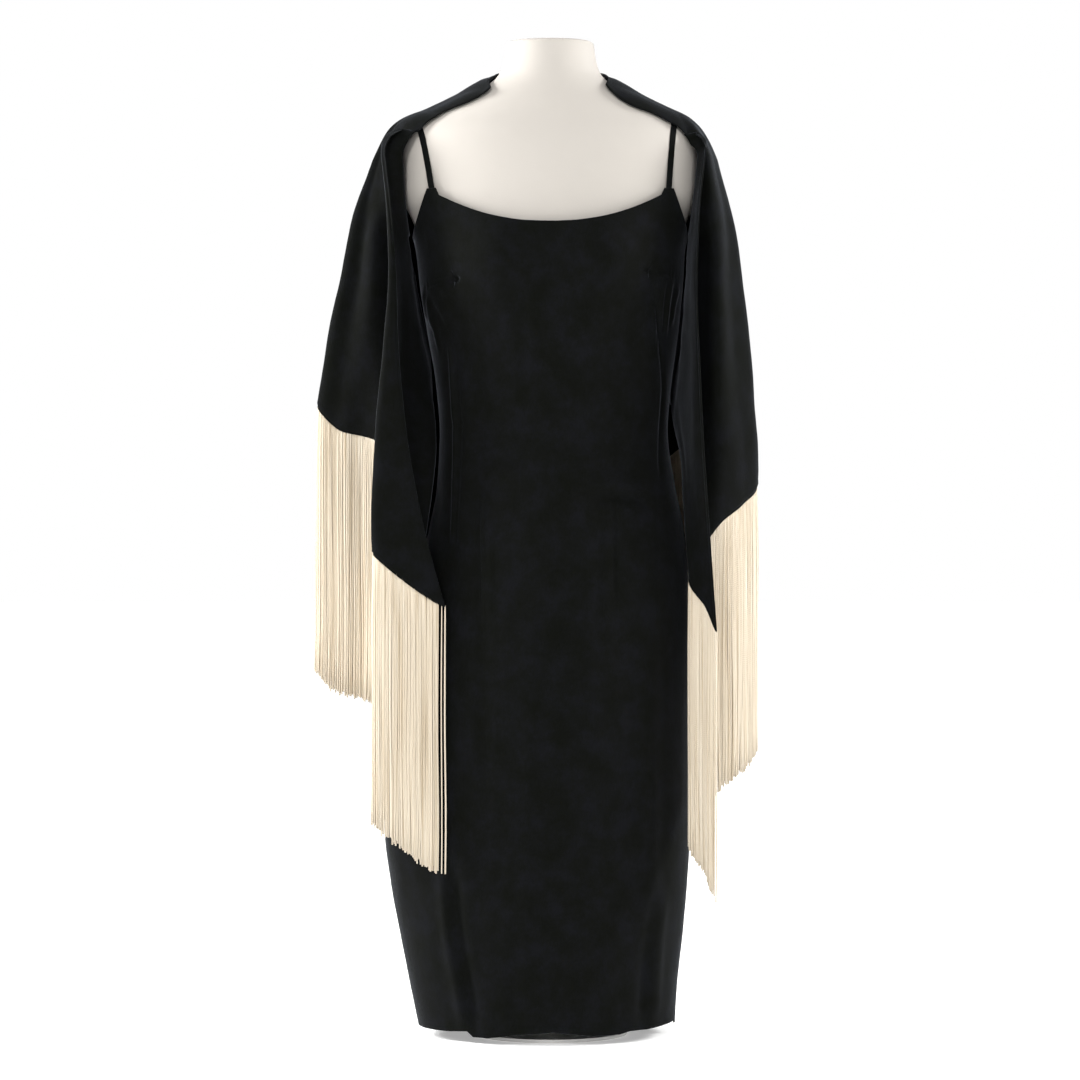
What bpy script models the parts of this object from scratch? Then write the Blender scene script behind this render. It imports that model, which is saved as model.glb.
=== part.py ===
"""A sheath cocktail dress with its fringed triangular shawl, worn by a limbless dress form on a low hidden stand.

Metres, +Z up. The dress faces -Y, and +X is to the right of someone who looks at its front.
The origin is the middle of the stand's underside. Every cloth piece is a thin shell on a surface that is worked out
from the section tables below: a row for each height, a column for each way out from the upright through the origin.
"""

import math

import bmesh
import bpy
import mathutils

# Driving sizes
CLOTH = 0.0016  # crepe with its turnings
SEAM_GAP = 0.0006  # between two pieces that are sewn together, before their walls lean in
REST_GAP = 0.0004  # between a piece and what carries it
HEM_HEIGHT = 0.012
ROUNDNESS = 2.2  # exponent of the superellipse sections: 2 is an ellipse

# The garment's outside: how far it reaches to the left, right, front and back at each height
DRESS_COLUMNS = ("height", "left", "right", "front", "back")
DRESS = (
    (0.012, 0.1530, 0.1455, 0.112, 0.112),
    (0.055, 0.1620, 0.1480, 0.115, 0.116),
    (0.120, 0.1746, 0.1548, 0.119, 0.121),
    (0.178, 0.1855, 0.1595, 0.122, 0.125),
    (0.240, 0.1925, 0.1630, 0.124, 0.129),
    (0.320, 0.1905, 0.1625, 0.126, 0.134),
    (0.400, 0.1810, 0.1615, 0.127, 0.138),
    (0.470, 0.1670, 0.1612, 0.127, 0.139),
    (0.530, 0.1530, 0.1605, 0.124, 0.135),
    (0.590, 0.1400, 0.1552, 0.117, 0.122),
    (0.640, 0.1305, 0.1448, 0.108, 0.105),
    (0.700, 0.1272, 0.1370, 0.101, 0.093),
    (0.750, 0.1315, 0.1408, 0.102, 0.093),
    (0.815, 0.1430, 0.1490, 0.108, 0.096),
    (0.868, 0.1513, 0.1548, 0.114, 0.100),
    (0.910, 0.1560, 0.1575, 0.117, 0.102),
    (0.940, 0.1650, 0.1655, 0.113, 0.102),
    (0.980, 0.1785, 0.1785, 0.105, 0.101),
)
BUST_HEIGHT, BUST_SIDE, BUST_RISE = 0.893, 0.078, 0.012  # the fullness that the bust darts give
BUST_SPREAD_X, BUST_SPREAD_Z = 0.046, 0.050

# The top edge of the dress, by angle from the side seam in degrees
UNDERARM_TOP = 0.925
STRAP_TOP = 0.9765
STRAP_OUTER_ANGLE, STRAP_INNER_ANGLE = 38.6, 44.3
NECK_FRONT_MIDDLE = 0.9362
NECK_SCOOP_POWER = 2.5
BACK_STRAP_ANGLE, BACK_STRAP_TOP, BACK_MIDDLE_TOP = 46.0, 0.955, 0.930
BACK_COLUMNS = 5  # panel columns from the strap to the middle of the back
BACK_COLUMN_BESIDE_ZIP = 90 - (90 - BACK_STRAP_ANGLE) / BACK_COLUMNS
ZIP_FOOT_LEVEL, ZIP_HALF_WIDTH, ZIP_THICK, ZIP_GAP = 0.56, 0.011, 0.001, 0.0005
# Rows of the panels, as shares of the way from the hem to the top edge
PANEL_LEVELS = (
    0, 0.055, 0.11, 0.17, 0.23, 0.30, 0.37, 0.44, 0.50, 0.56, 0.61, 0.66, 0.71, 0.755, 0.80, 0.84, 0.875, 0.91,
    0.94, 0.97, 1.0,
)  # fmt: skip

# The dress form, which is the same to the left and right
FORM_COLUMNS = ("height", "side", "front", "back")
FORM = (
    (0.430, 0.132, 0.098, 0.110),
    (0.480, 0.141, 0.107, 0.124),
    (0.530, 0.139, 0.108, 0.122),
    (0.590, 0.130, 0.102, 0.108),
    (0.650, 0.120, 0.092, 0.088),
    (0.700, 0.117, 0.087, 0.080),
    (0.750, 0.121, 0.088, 0.081),
    (0.815, 0.132, 0.094, 0.086),
    (0.868, 0.142, 0.102, 0.091),
    (0.910, 0.149, 0.106, 0.094),
    (0.940, 0.158, 0.102, 0.095),
    (0.980, 0.1735, 0.095, 0.094),
    (1.020, 0.1735, 0.087, 0.091),
    (1.045, 0.1665, 0.079, 0.086),
    (1.065, 0.1450, 0.071, 0.080),
    (1.085, 0.1075, 0.065, 0.074),
    (1.100, 0.0760, 0.061, 0.068),
    (1.114, 0.0600, 0.057, 0.062),
    (1.132, 0.0535, 0.053, 0.055),
    (1.152, 0.0510, 0.050, 0.051),
)
POLE_RADIUS = 0.014
BASE_RADIUS, BASE_THICK = 0.090, 0.004

STRAP_WIDTH, STRAP_THICK = 0.0082, 0.0016
STRAP_CREST = {"left": 0.157, "right": 0.147}  # how far out each strap crosses the shoulder
STRAP_LIFT = STRAP_THICK  # its outside above the form's smooth surface, which the form's flats lie a little under
STRAP_STEPS, STRAP_END_SHARE = 11, 0.35  # near each end it leaves the form to meet the dress

# The shawl hangs in a deep fold at each side. Its plan at each height, as distances out to the side and to the front:
# the free long edge, the fold beside it, the valley behind them next to the dress, and the outermost point
SHAWL_COLUMNS = (
    "height", "edge_out", "edge_front", "fold_out", "fold_front", "valley_out", "valley_front", "side_out",
)  # fmt: skip
SHAWL_LEFT = (
    (0.490, 0.117, 0.114, 0.194, 0.112, 0.160, 0.072, 0.272),
    (0.600, 0.146, 0.108, 0.2025, 0.106, 0.139, 0.064, 0.272),
    (0.700, 0.1638, 0.102, 0.1985, 0.096, 0.131, 0.014, 0.272),
    (0.800, 0.1730, 0.096, 0.1880, 0.087, 0.137, -0.030, 0.258),
    (0.880, 0.1758, 0.090, 0.1820, 0.080, 0.151, -0.020, 0.2405),
    (0.950, 0.1814, 0.084, 0.1855, 0.073, 0.1655, 0.034, 0.226),
    (1.015, 0.1890, 0.072, 0.1920, 0.060, 0.1695, 0.046, 0.204),
)
SHAWL_RIGHT = (
    (0.465, 0.1896, 0.108, 0.1800, 0.098, 0.1670, 0.088, 0.236),
    (0.560, 0.1828, 0.106, 0.1715, 0.092, 0.1570, 0.070, 0.237),
    (0.660, 0.1759, 0.102, 0.1645, 0.080, 0.1525, 0.030, 0.240),
    (0.750, 0.1716, 0.098, 0.1610, 0.070, 0.1400, -0.034, 0.2345),
    (0.860, 0.1673, 0.094, 0.1605, 0.066, 0.1500, -0.030, 0.2225),
    (0.940, 0.1700, 0.086, 0.1655, 0.066, 0.1620, 0.040, 0.2115),
    (1.015, 0.1780, 0.072, 0.1750, 0.064, 0.1695, 0.050, 0.192),
)
SHAWL_SIDE_FRONT = -0.010
TURN_OUT_SHARE, BEND_OUT_SHARE = 0.52, 0.80  # the outer layer comes out of the valley, then bends towards the side
TURN_FRONT = {"left": 0.015, "right": 0.052}
BEND_FRONT = {"left": 0.004, "right": 0.030}
REAR_OUT_SHARE, REAR_BACK = 0.80, 0.088  # the rounded corner between side and back
BLADE_OUT_SHARE, BLADE_FORWARD = 0.53, 0.009  # over the shoulder blade
NAPE_OUT_SHARE, NAPE_FORWARD = 0.25, 0.002  # between the blade and the middle of the back
MIDDLE_BACK_COLUMNS = ("height", "back")
MIDDLE_BACK = ((0.50, 0.152), (0.60, 0.137), (0.70, 0.117), (0.85, 0.110), (0.95, 0.111), (1.015, 0.108))

# The lines from the neck down. Each starts on the neck line, crosses the crest and the end of the shoulder
# (out, front, height), and ends at the height of the fringed edge
LINES = ("edge", "fold", "valley", "turn", "bend", "side", "rear", "blade", "nape", "middle")
LINES_LEFT = {
    "edge": ((0.170, 0.045, 1.045), (0.177, 0.052, 1.041), (0.184, 0.060, 1.034), 0.498),
    "fold": ((0.172, 0.040, 1.048), (0.181, 0.043, 1.044), (0.190, 0.048, 1.036), 0.556),
    "valley": ((0.153, 0.047, 1.045), (0.158, 0.050, 1.041), (0.163, 0.052, 1.034), 0.590),
    "turn": ((0.1415, 0.046, 1.0545), (0.160, 0.032, 1.057), (0.174, 0.024, 1.048), 0.690),
    "bend": ((0.130, 0.0465, 1.0615), (0.156, 0.018, 1.066), (0.180, 0.009, 1.052), 0.7005),
    "side": ((0.118, 0.047, 1.068), (0.150, 0.004, 1.0715), (0.183, -0.006, 1.053), 0.7285),
    "rear": ((0.088, 0.052, 1.0795), (0.112, -0.002, 1.090), (0.146, -0.062, 1.064), 0.665),
    "blade": ((0.067, 0.047, 1.095), (0.077, -0.006, 1.109), (0.098, -0.088, 1.071), 0.567),
    "nape": ((0.054, -0.034, 1.121), (0.052, -0.048, 1.114), (0.050, -0.094, 1.073), 0.553),
    "middle": ((0.000, -0.066, 1.122), (0.000, -0.080, 1.104), (0.000, -0.094, 1.074), 0.560),
}
LINES_RIGHT = {
    "edge": ((0.168, 0.044, 1.040), (0.171, 0.054, 1.037), (0.175, 0.062, 1.030), 0.469),
    "fold": ((0.169, 0.041, 1.044), (0.174, 0.047, 1.039), (0.178, 0.054, 1.031), 0.497),
    "valley": ((0.1545, 0.043, 1.041), (0.158, 0.046, 1.037), (0.161, 0.048, 1.030), 0.532),
    "turn": ((0.1455, 0.046, 1.0495), (0.159, 0.032, 1.053), (0.170, 0.038, 1.042), 0.595),
    "bend": ((0.132, 0.048, 1.0565), (0.1535, 0.018, 1.0640), (0.173, 0.018, 1.048), 0.614),
    "side": ((0.118, 0.050, 1.0635), (0.147, 0.004, 1.0715), (0.1735, -0.006, 1.052), 0.641),
    "rear": ((0.088, 0.056, 1.0745), (0.112, -0.002, 1.089), (0.142, -0.062, 1.064), 0.700),
    "blade": ((0.063, 0.046, 1.098), (0.075, -0.006, 1.109), (0.098, -0.088, 1.071), 0.660),
    "nape": ((0.054, -0.034, 1.121), (0.052, -0.048, 1.114), (0.050, -0.094, 1.073), 0.585),
    "middle": ((0.000, -0.066, 1.122), (0.000, -0.080, 1.104), (0.000, -0.094, 1.074), 0.560),
}
SHOULDER_LEVEL = 1.015
HEIGHT_AXIS = 2
COLUMNS_BETWEEN = (6, 6, 3, 3, 3, 6, 4, 4, 3)  # shawl columns between each two lines
SHOULDER_ROWS = (2, 2, 2)  # neck to crest to shoulder to where the cloth hangs
HANGING_ROWS = (0, 0.09, 0.20, 0.31, 0.42, 0.53, 0.64, 0.75, 0.87, 1.0)  # as shares of the drop to the fringed edge
BACK_FOLD_WAVES, BACK_FOLD_DEPTH, BACK_FOLD_SPAN, BACK_FOLD_START = 2.5, 0.010, 0.22, 0.06
SHAWL_CLEARANCE = 0.0032  # from the form
SHAWL_DRESS_CLEARANCE = 0.0048
SHOULDER_SLOPE_LEVEL, SHOULDER_SLOPE_FACTOR = 1.02, 1.7
OVER_STRAP_RISE, OVER_STRAP_SPREAD = 0.0014, 0.012

# Fringe
FRINGE_LENGTH = 0.305
STRIP_GAP = 0.0016  # from the cloth's edge
STRIP_HEIGHT, STRIP_THICK = 0.005, 0.0022
STRAND_PITCH = 0.0082
STRAND_WIDTH, STRAND_TIP_WIDTH = 0.62, 0.52  # as a share of the pitch
STRAND_NECK = 0.035  # the share of its length at which a strand is parted from its neighbours
STRAND_CLEARANCE = 0.006


def clear_scene():
    for obj in list(bpy.data.objects):
        bpy.data.objects.remove(obj)


def at_height(table, columns, name, height):
    """The named column's value at a height, on a smooth curve that never overshoots its rows."""
    column = columns.index(name)
    heights = [row[0] for row in table]
    values = [row[column] for row in table]
    if height <= heights[0]:
        return values[0]
    if height >= heights[-1]:
        return values[-1]
    i = max(k for k in range(len(heights) - 1) if heights[k] <= height)
    slopes = [(values[k + 1] - values[k]) / (heights[k + 1] - heights[k]) for k in range(len(heights) - 1)]

    def tangent(k):
        if k in (0, len(heights) - 1):
            return slopes[min(k, len(slopes) - 1)]
        before, after = slopes[k - 1], slopes[k]
        return 2 * before * after / (before + after) if before * after > 0 else 0.0

    span = heights[i + 1] - heights[i]
    t = (height - heights[i]) / span
    return (
        (2 * t**3 - 3 * t**2 + 1) * values[i]
        + (t**3 - 2 * t**2 + t) * span * tangent(i)
        + (3 * t**2 - 2 * t**3) * values[i + 1]
        + (t**3 - t**2) * span * tangent(i + 1)
    )


def power(value, exponent):
    return math.copysign(abs(value) ** exponent, value)


def section_point(angle, left, right, front, back, height):
    """A point of a superellipse section. Angle 0 is the right side seam, -90 the middle of the front."""
    across, along = math.cos(math.radians(angle)), math.sin(math.radians(angle))
    x = power(across, 2 / ROUNDNESS) * (right if across > 0 else left)
    y = power(along, 2 / ROUNDNESS) * (back if along > 0 else front)
    return [x, y, height]


def dress_point(angle, height):
    reach = [at_height(DRESS, DRESS_COLUMNS, name, height) for name in DRESS_COLUMNS[1:]]
    x, y, z = section_point(angle, *reach, height)
    if y < 0:
        across = math.exp(-(((abs(x) - BUST_SIDE) / BUST_SPREAD_X) ** 2))
        y -= BUST_RISE * across * math.exp(-(((z - BUST_HEIGHT) / BUST_SPREAD_Z) ** 2))
    return [x, y, z]


def form_reach(height):
    return [at_height(FORM, FORM_COLUMNS, name, height) for name in FORM_COLUMNS[1:]]


def form_point(angle, height):
    side, front, back = form_reach(height)
    return section_point(angle, side, side, front, back, height)


def new_object(name, mesh, material):
    obj = bpy.data.objects.new(name, mesh)
    obj.data.materials.append(material)
    bpy.data.collections["cocktail_dress_on_form"].objects.link(obj)
    return obj


def sheet_object(name, rows, material, thick=CLOTH, flip=False):
    """An open surface through rows of points, with a Solidify wall on its inner side."""
    bm = bmesh.new()
    lines = [[bm.verts.new(point) for point in row] for row in rows]
    for low, high in zip(lines, lines[1:]):
        for k in range(len(low) - 1):
            corners = (low[k], low[k + 1], high[k + 1], high[k])
            bm.faces.new(corners[::-1] if flip else corners)
    mesh = bpy.data.meshes.new(name)
    bm.to_mesh(mesh)
    bm.free()
    mesh.shade_smooth()
    obj = new_object(name, mesh, material)
    wall = obj.modifiers.new("wall", "SOLIDIFY")
    wall.thickness = thick
    wall.offset = -1
    return obj


def loft_object(name, rings, material):
    """A closed solid through rings of equal count, with a flat cap on each end."""
    bm = bmesh.new()
    lines = [[bm.verts.new(point) for point in ring] for ring in rings]
    count = len(rings[0])
    for low, high in zip(lines, lines[1:]):
        for k in range(count):
            after = (k + 1) % count
            bm.faces.new((low[k], low[after], high[after], high[k]))
    bm.faces.new(lines[0][::-1])
    bm.faces.new(lines[-1])
    bmesh.ops.recalc_face_normals(bm, faces=bm.faces)
    mesh = bpy.data.meshes.new(name)
    bm.to_mesh(mesh)
    bm.free()
    return new_object(name, mesh, material)


def solid_material(name, colour, roughness, metallic=0.0):
    material = bpy.data.materials.new(name)
    material.use_nodes = True
    shader = material.node_tree.nodes["Principled BSDF"]
    shader.inputs["Base Color"].default_value = (*colour, 1)
    shader.inputs["Roughness"].default_value = roughness
    shader.inputs["Metallic"].default_value = metallic
    return material


# ---------------------------------------------------------------- dress form and its stand


def make_form(covering, metal):
    heights = [row[0] for row in FORM]
    heights += [(a + b) / 2 for a, b in zip(heights, heights[1:]) if a > 0.90]
    rings = [[form_point(360 * k / 36, z) for k in range(36)] for z in sorted(heights)]
    torso = loft_object("form_torso", rings, covering)
    torso.data.shade_smooth()

    torso_bottom = FORM[0][0]
    for name, radius, low, high in (
        ("form_base", BASE_RADIUS, 0.0, BASE_THICK),
        ("form_pole", POLE_RADIUS, BASE_THICK + REST_GAP, torso_bottom - REST_GAP),
    ):
        bm = bmesh.new()
        bmesh.ops.create_cone(
            bm, cap_ends=True, segments=40, radius1=radius, radius2=radius, depth=high - low
        )
        bmesh.ops.translate(bm, verts=bm.verts, vec=(0, 0, (low + high) / 2))
        mesh = bpy.data.meshes.new(name)
        bm.to_mesh(mesh)
        bm.free()
        new_object(name, mesh, metal)


# ---------------------------------------------------------------- dress


def front_top(angle):
    """Height of the front's top edge: armhole, strap corner, then the scooped neckline."""
    from_side = min(-angle, angle + 180)
    if from_side < STRAP_OUTER_ANGLE:
        return UNDERARM_TOP + (STRAP_TOP - UNDERARM_TOP) * (from_side / STRAP_OUTER_ANGLE) ** 2
    if from_side < STRAP_INNER_ANGLE + 0.01:
        return STRAP_TOP
    corner = dress_point(-STRAP_INNER_ANGLE, STRAP_TOP)[0]
    share = min(1.0, abs(dress_point(angle, NECK_FRONT_MIDDLE)[0]) / corner)
    return NECK_FRONT_MIDDLE + (STRAP_TOP - NECK_FRONT_MIDDLE) * share**NECK_SCOOP_POWER


def back_top(angle):
    """Height of the back's top edge, from the side seam up to the strap and down to the zip."""
    from_side = min(angle, 180 - angle)
    if from_side <= BACK_STRAP_ANGLE:
        share = from_side / BACK_STRAP_ANGLE
        return UNDERARM_TOP + (BACK_STRAP_TOP - UNDERARM_TOP) * share**1.5
    share = (90 - from_side) / (90 - BACK_STRAP_ANGLE)
    return BACK_MIDDLE_TOP + (BACK_STRAP_TOP - BACK_MIDDLE_TOP) * share**2


def spread(start, stop, count):
    return [start + (stop - start) * k / count for k in range(count)]


def panel(name, angles, top, material):
    """A panel of the dress between two seams, each drawn in by half of the seam's gap."""
    rows = []
    for level in PANEL_LEVELS:
        row = [dress_point(angle, HEM_HEIGHT + (top(angle) - HEM_HEIGHT) * level) for angle in angles]
        for end, inner in ((0, 1), (-1, -2)):
            dx, dy = row[inner][0] - row[end][0], row[inner][1] - row[end][1]
            size = math.hypot(dx, dy)
            row[end][0] += dx / size * SEAM_GAP / 2
            row[end][1] += dy / size * SEAM_GAP / 2
        rows.append(row)
    return sheet_object(name, rows, material)


def make_dress(crepe):
    half = spread(0, STRAP_OUTER_ANGLE, 5) + [STRAP_OUTER_ANGLE]
    half += spread(STRAP_INNER_ANGLE, 90, 7)
    front_angles = [-180 + angle for angle in half] + [-90] + [-angle for angle in reversed(half)]
    panel("dress_front", front_angles, front_top, crepe)
    back_half = spread(0, BACK_STRAP_ANGLE, 5) + spread(BACK_STRAP_ANGLE, 90, BACK_COLUMNS) + [90]
    panel("dress_back_right", back_half, back_top, crepe)
    panel("dress_back_left", [180 - angle for angle in reversed(back_half)], back_top, crepe)


def shoulder_top(x):
    """Height at which the form is only as wide as x: the crest of the shoulder there."""
    low, high = 1.02, FORM[-1][0]
    for _ in range(40):
        middle = (low + high) / 2
        if form_reach(middle)[0] > x:
            low = middle
        else:
            high = middle
    return low


def outline(reach, x, on_back):
    """The front or back of a superellipse section at x. The reach is its side, front and back."""
    side, front, back = reach
    share = max(0.0, 1 - (abs(x) / side) ** ROUNDNESS) ** (1 / ROUNDNESS)
    return back * share if on_back else -front * share


def strap_line(foot, crest_x, tail):
    """Points from the front corner over the shoulder to the back, each lifted off the form."""
    crest_z = shoulder_top(crest_x)
    points = []
    for k in range(-STRAP_STEPS, STRAP_STEPS + 1):
        share = 1 - abs(k) / STRAP_STEPS  # 0 at either end, 1 at the crest
        end_x, end_z = foot if k < 0 else tail
        x = end_x + (crest_x - end_x) * share
        z = end_z + (crest_z - end_z) * math.sin(share * math.pi / 2)
        z = min(z, shoulder_top(x) - 1e-5)
        on_form = outline(form_reach(z), x, k > 0)
        reach = [at_height(DRESS, DRESS_COLUMNS, name, z) for name in ("right", "front", "back")]
        on_dress = outline(reach, x, k > 0)
        near_end = max(0.0, 1 - share / STRAP_END_SHARE) ** 2
        points.append((x, on_form, z, on_dress, near_end))
    lifted = []
    for k, (x, on_form, z, on_dress, near_end) in enumerate(points):
        before, after = points[max(k - 1, 0)], points[min(k + 1, 2 * STRAP_STEPS)]
        dy, dz = after[1] - before[1], after[2] - before[2]
        size = math.hypot(dy, dz)
        y = on_form - dz / size * STRAP_LIFT
        lifted.append((x, y + (on_dress - y) * near_end, z + dy / size * STRAP_LIFT * (1 - near_end)))
    return lifted


def make_straps(crepe):
    """Each strap stands on the corners of the front and the back and lies over the shoulder."""
    foot_x = abs(dress_point(-(STRAP_OUTER_ANGLE + STRAP_INNER_ANGLE) / 2, STRAP_TOP)[0])
    tail_x = abs(dress_point(BACK_STRAP_ANGLE, BACK_STRAP_TOP)[0])
    for name, side in (("left", -1), ("right", 1)):
        edges = []
        for shift in (-STRAP_WIDTH / 2, STRAP_WIDTH / 2):
            foot = (foot_x + shift, STRAP_TOP + SEAM_GAP)
            tail = (tail_x + shift, BACK_STRAP_TOP + SEAM_GAP)
            line = strap_line(foot, STRAP_CREST[name] + shift, tail)
            edges.append([(side * x, y, z) for x, y, z in line])
        sheet_object("strap_" + name, list(zip(*edges)), crepe, STRAP_THICK, flip=side > 0)


def make_zip(tape):
    """The concealed zip's tape, flat against the inside of the middle back seam."""
    rows = []
    for level in [level for level in PANEL_LEVELS if level >= ZIP_FOOT_LEVEL]:
        z = HEM_HEIGHT + (BACK_MIDDLE_TOP - HEM_HEIGHT) * level
        seam, beside = dress_point(90, z), dress_point(BACK_COLUMN_BESIDE_ZIP, z)
        slope = (seam[1] - beside[1]) / abs(beside[0])
        inside = seam[1] - CLOTH - ZIP_GAP
        rows.append([(x, inside - abs(x) * slope, z) for x in (-ZIP_HALF_WIDTH, 0, ZIP_HALF_WIDTH)])
    sheet_object("back_zip", rows, tape, ZIP_THICK, flip=True)


# ---------------------------------------------------------------- shawl


def shawl_line(line, side, height):
    """Out and front of one of the shawl's lines at a height below the shoulder."""
    table = SHAWL_LEFT if side < 0 else SHAWL_RIGHT
    if line == "middle":
        return 0.0, -at_height(MIDDLE_BACK, MIDDLE_BACK_COLUMNS, "back", height)
    side_out = at_height(table, SHAWL_COLUMNS, "side_out", height)
    if line == "side":
        return side_out, SHAWL_SIDE_FRONT
    if line in ("turn", "bend"):
        valley_out = at_height(table, SHAWL_COLUMNS, "valley_out", height)
        out_share = TURN_OUT_SHARE if line == "turn" else BEND_OUT_SHARE
        front = (TURN_FRONT if line == "turn" else BEND_FRONT)["left" if side < 0 else "right"]
        return valley_out + (side_out - valley_out) * out_share, front
    if line == "rear":
        return side_out * REAR_OUT_SHARE, -REAR_BACK
    if line in ("blade", "nape"):
        out_share = BLADE_OUT_SHARE if line == "blade" else NAPE_OUT_SHARE
        forward = BLADE_FORWARD if line == "blade" else NAPE_FORWARD
        return side_out * out_share, shawl_line("middle", side, height)[1] + forward
    return (
        at_height(table, SHAWL_COLUMNS, line + "_out", height),
        at_height(table, SHAWL_COLUMNS, line + "_front", height),
    )


def through(knots, parts, level=False):
    """A smooth curve through the knots, with the given number of steps between each two.

    Where level is set, the curve's height never overshoots a knot's.
    """

    def tangent(i, axis):
        here = knots[i][axis]
        before, after = knots[max(i - 1, 0)][axis], knots[min(i + 1, len(knots) - 1)][axis]
        fall, rise = here - before, after - here
        if level and axis == HEIGHT_AXIS:
            return 2 * fall * rise / (fall + rise) if fall * rise > 0 else 0.0
        return (fall + rise) / 2

    points = []
    axes = range(len(knots[0]))
    for i, count in enumerate(parts):
        starts = [(knots[i][axis], tangent(i, axis), knots[i + 1][axis], tangent(i + 1, axis)) for axis in axes]
        for k in range(count):
            t = k / count
            points.append(
                [
                    (2 * t**3 - 3 * t**2 + 1) * a
                    + (t**3 - 2 * t**2 + t) * leaving
                    + (3 * t**2 - 2 * t**3) * b
                    + (t**3 - t**2) * arriving
                    for a, leaving, b, arriving in starts
                ]
            )
    return points + [list(knots[-1])]


def clear_of_form(point):
    """Moves a point straight out from the upright until it is clear of the form and the straps on it."""
    x, y, z = point
    if z >= FORM[-1][0]:
        return point
    side, front, back = form_reach(z)
    depth = back if y > 0 else front
    reach = ((abs(x) / side) ** ROUNDNESS + (abs(y) / depth) ** ROUNDNESS) ** (1 / ROUNDNESS)
    clearance = SHAWL_CLEARANCE
    if z > SHOULDER_SLOPE_LEVEL:  # on the slope of the shoulder a level step clears less
        from_strap = abs(x) - STRAP_CREST["left" if x < 0 else "right"]
        clearance += OVER_STRAP_RISE * math.exp(-((from_strap / OVER_STRAP_SPREAD) ** 2))
        clearance *= SHOULDER_SLOPE_FACTOR
    least = 1 + clearance / math.hypot(x, y)
    if reach >= least:
        return point
    return [x * least / reach, y * least / reach, z]


def clear_of_dress(x, y, z, clearance):
    """Moves a point straight out from the upright where the dress would be in its way."""
    left, right, front, back = [at_height(DRESS, DRESS_COLUMNS, name, z) for name in DRESS_COLUMNS[1:]]
    side, depth = (left if x < 0 else right), (front if y < 0 else back)
    reach = ((abs(x) / side) ** ROUNDNESS + (abs(y) / depth) ** ROUNDNESS) ** (1 / ROUNDNESS)
    scale = max(1.0, (1 + clearance / depth) / reach)
    return [x * scale, y * scale, z]


def shawl_rows():
    """Rows of points over the shawl, from the neck down to the fringed edge, left tip to right tip."""
    knots = [[] for _ in range(sum(SHOULDER_ROWS) + len(HANGING_ROWS))]
    for side, lines, order in ((-1, LINES_LEFT, LINES), (1, LINES_RIGHT, LINES[-2::-1])):
        for line in order:
            *over_shoulder, fringed_edge = lines[line]
            hanging = []
            for share in HANGING_ROWS:
                height = SHOULDER_LEVEL + (fringed_edge - SHOULDER_LEVEL) * share
                hanging.append((*shawl_line(line, side, height), height))
            above = through(over_shoulder + hanging[:2], (*SHOULDER_ROWS, 1))
            for row, point in zip(knots, above[: sum(SHOULDER_ROWS)] + hanging):
                row.append((side * point[0], -point[1], point[2]))
    rows = []
    for k, row_knots in enumerate(knots):
        row = through(row_knots, COLUMNS_BETWEEN + COLUMNS_BETWEEN[::-1], level=True)
        share = HANGING_ROWS[max(0, k - sum(SHOULDER_ROWS))]
        for point in row:
            if point[1] > BACK_FOLD_START:
                wave = math.cos(2 * math.pi * BACK_FOLD_WAVES * point[0] / BACK_FOLD_SPAN)
                point[1] += BACK_FOLD_DEPTH * share * (1 - wave) * (1 - abs(point[0]) / 0.30)
        row = [clear_of_dress(*point, SHAWL_DRESS_CLEARANCE) if point[2] < UNDERARM_TOP else point for point in row]
        rows.append([clear_of_form(point) for point in row])
    return rows


def make_shawl(crepe):
    sheet_object("shawl", shawl_rows(), crepe, flip=True)


# ---------------------------------------------------------------- fringe


def strip_stations(edge):
    """Points a strand's pitch apart along the edge, with the level direction and how much a slope lengthens it there."""
    stations = []
    steep_before = 0.0
    for i, (a, b) in enumerate(zip(edge, edge[1:])):
        steep = math.dist(a, b) / math.dist(a[:2], b[:2])
        count = max(1, round(math.dist(a, b) / STRAND_PITCH))
        for k in range(count):
            point = [p + (q - p) * k / count for p, q in zip(a, b)]
            before = edge[max(i - 1, 0)] if k == 0 else a
            stations.append((point, (b[0] - before[0], b[1] - before[1]), max(steep, steep_before)))
            steep_before = steep
    stations.append((list(edge[-1]), (edge[-1][0] - edge[-2][0], edge[-1][1] - edge[-2][1]), steep_before))
    return stations[:-1] if abs(edge[-1][0]) < 0.001 else stations


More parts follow.
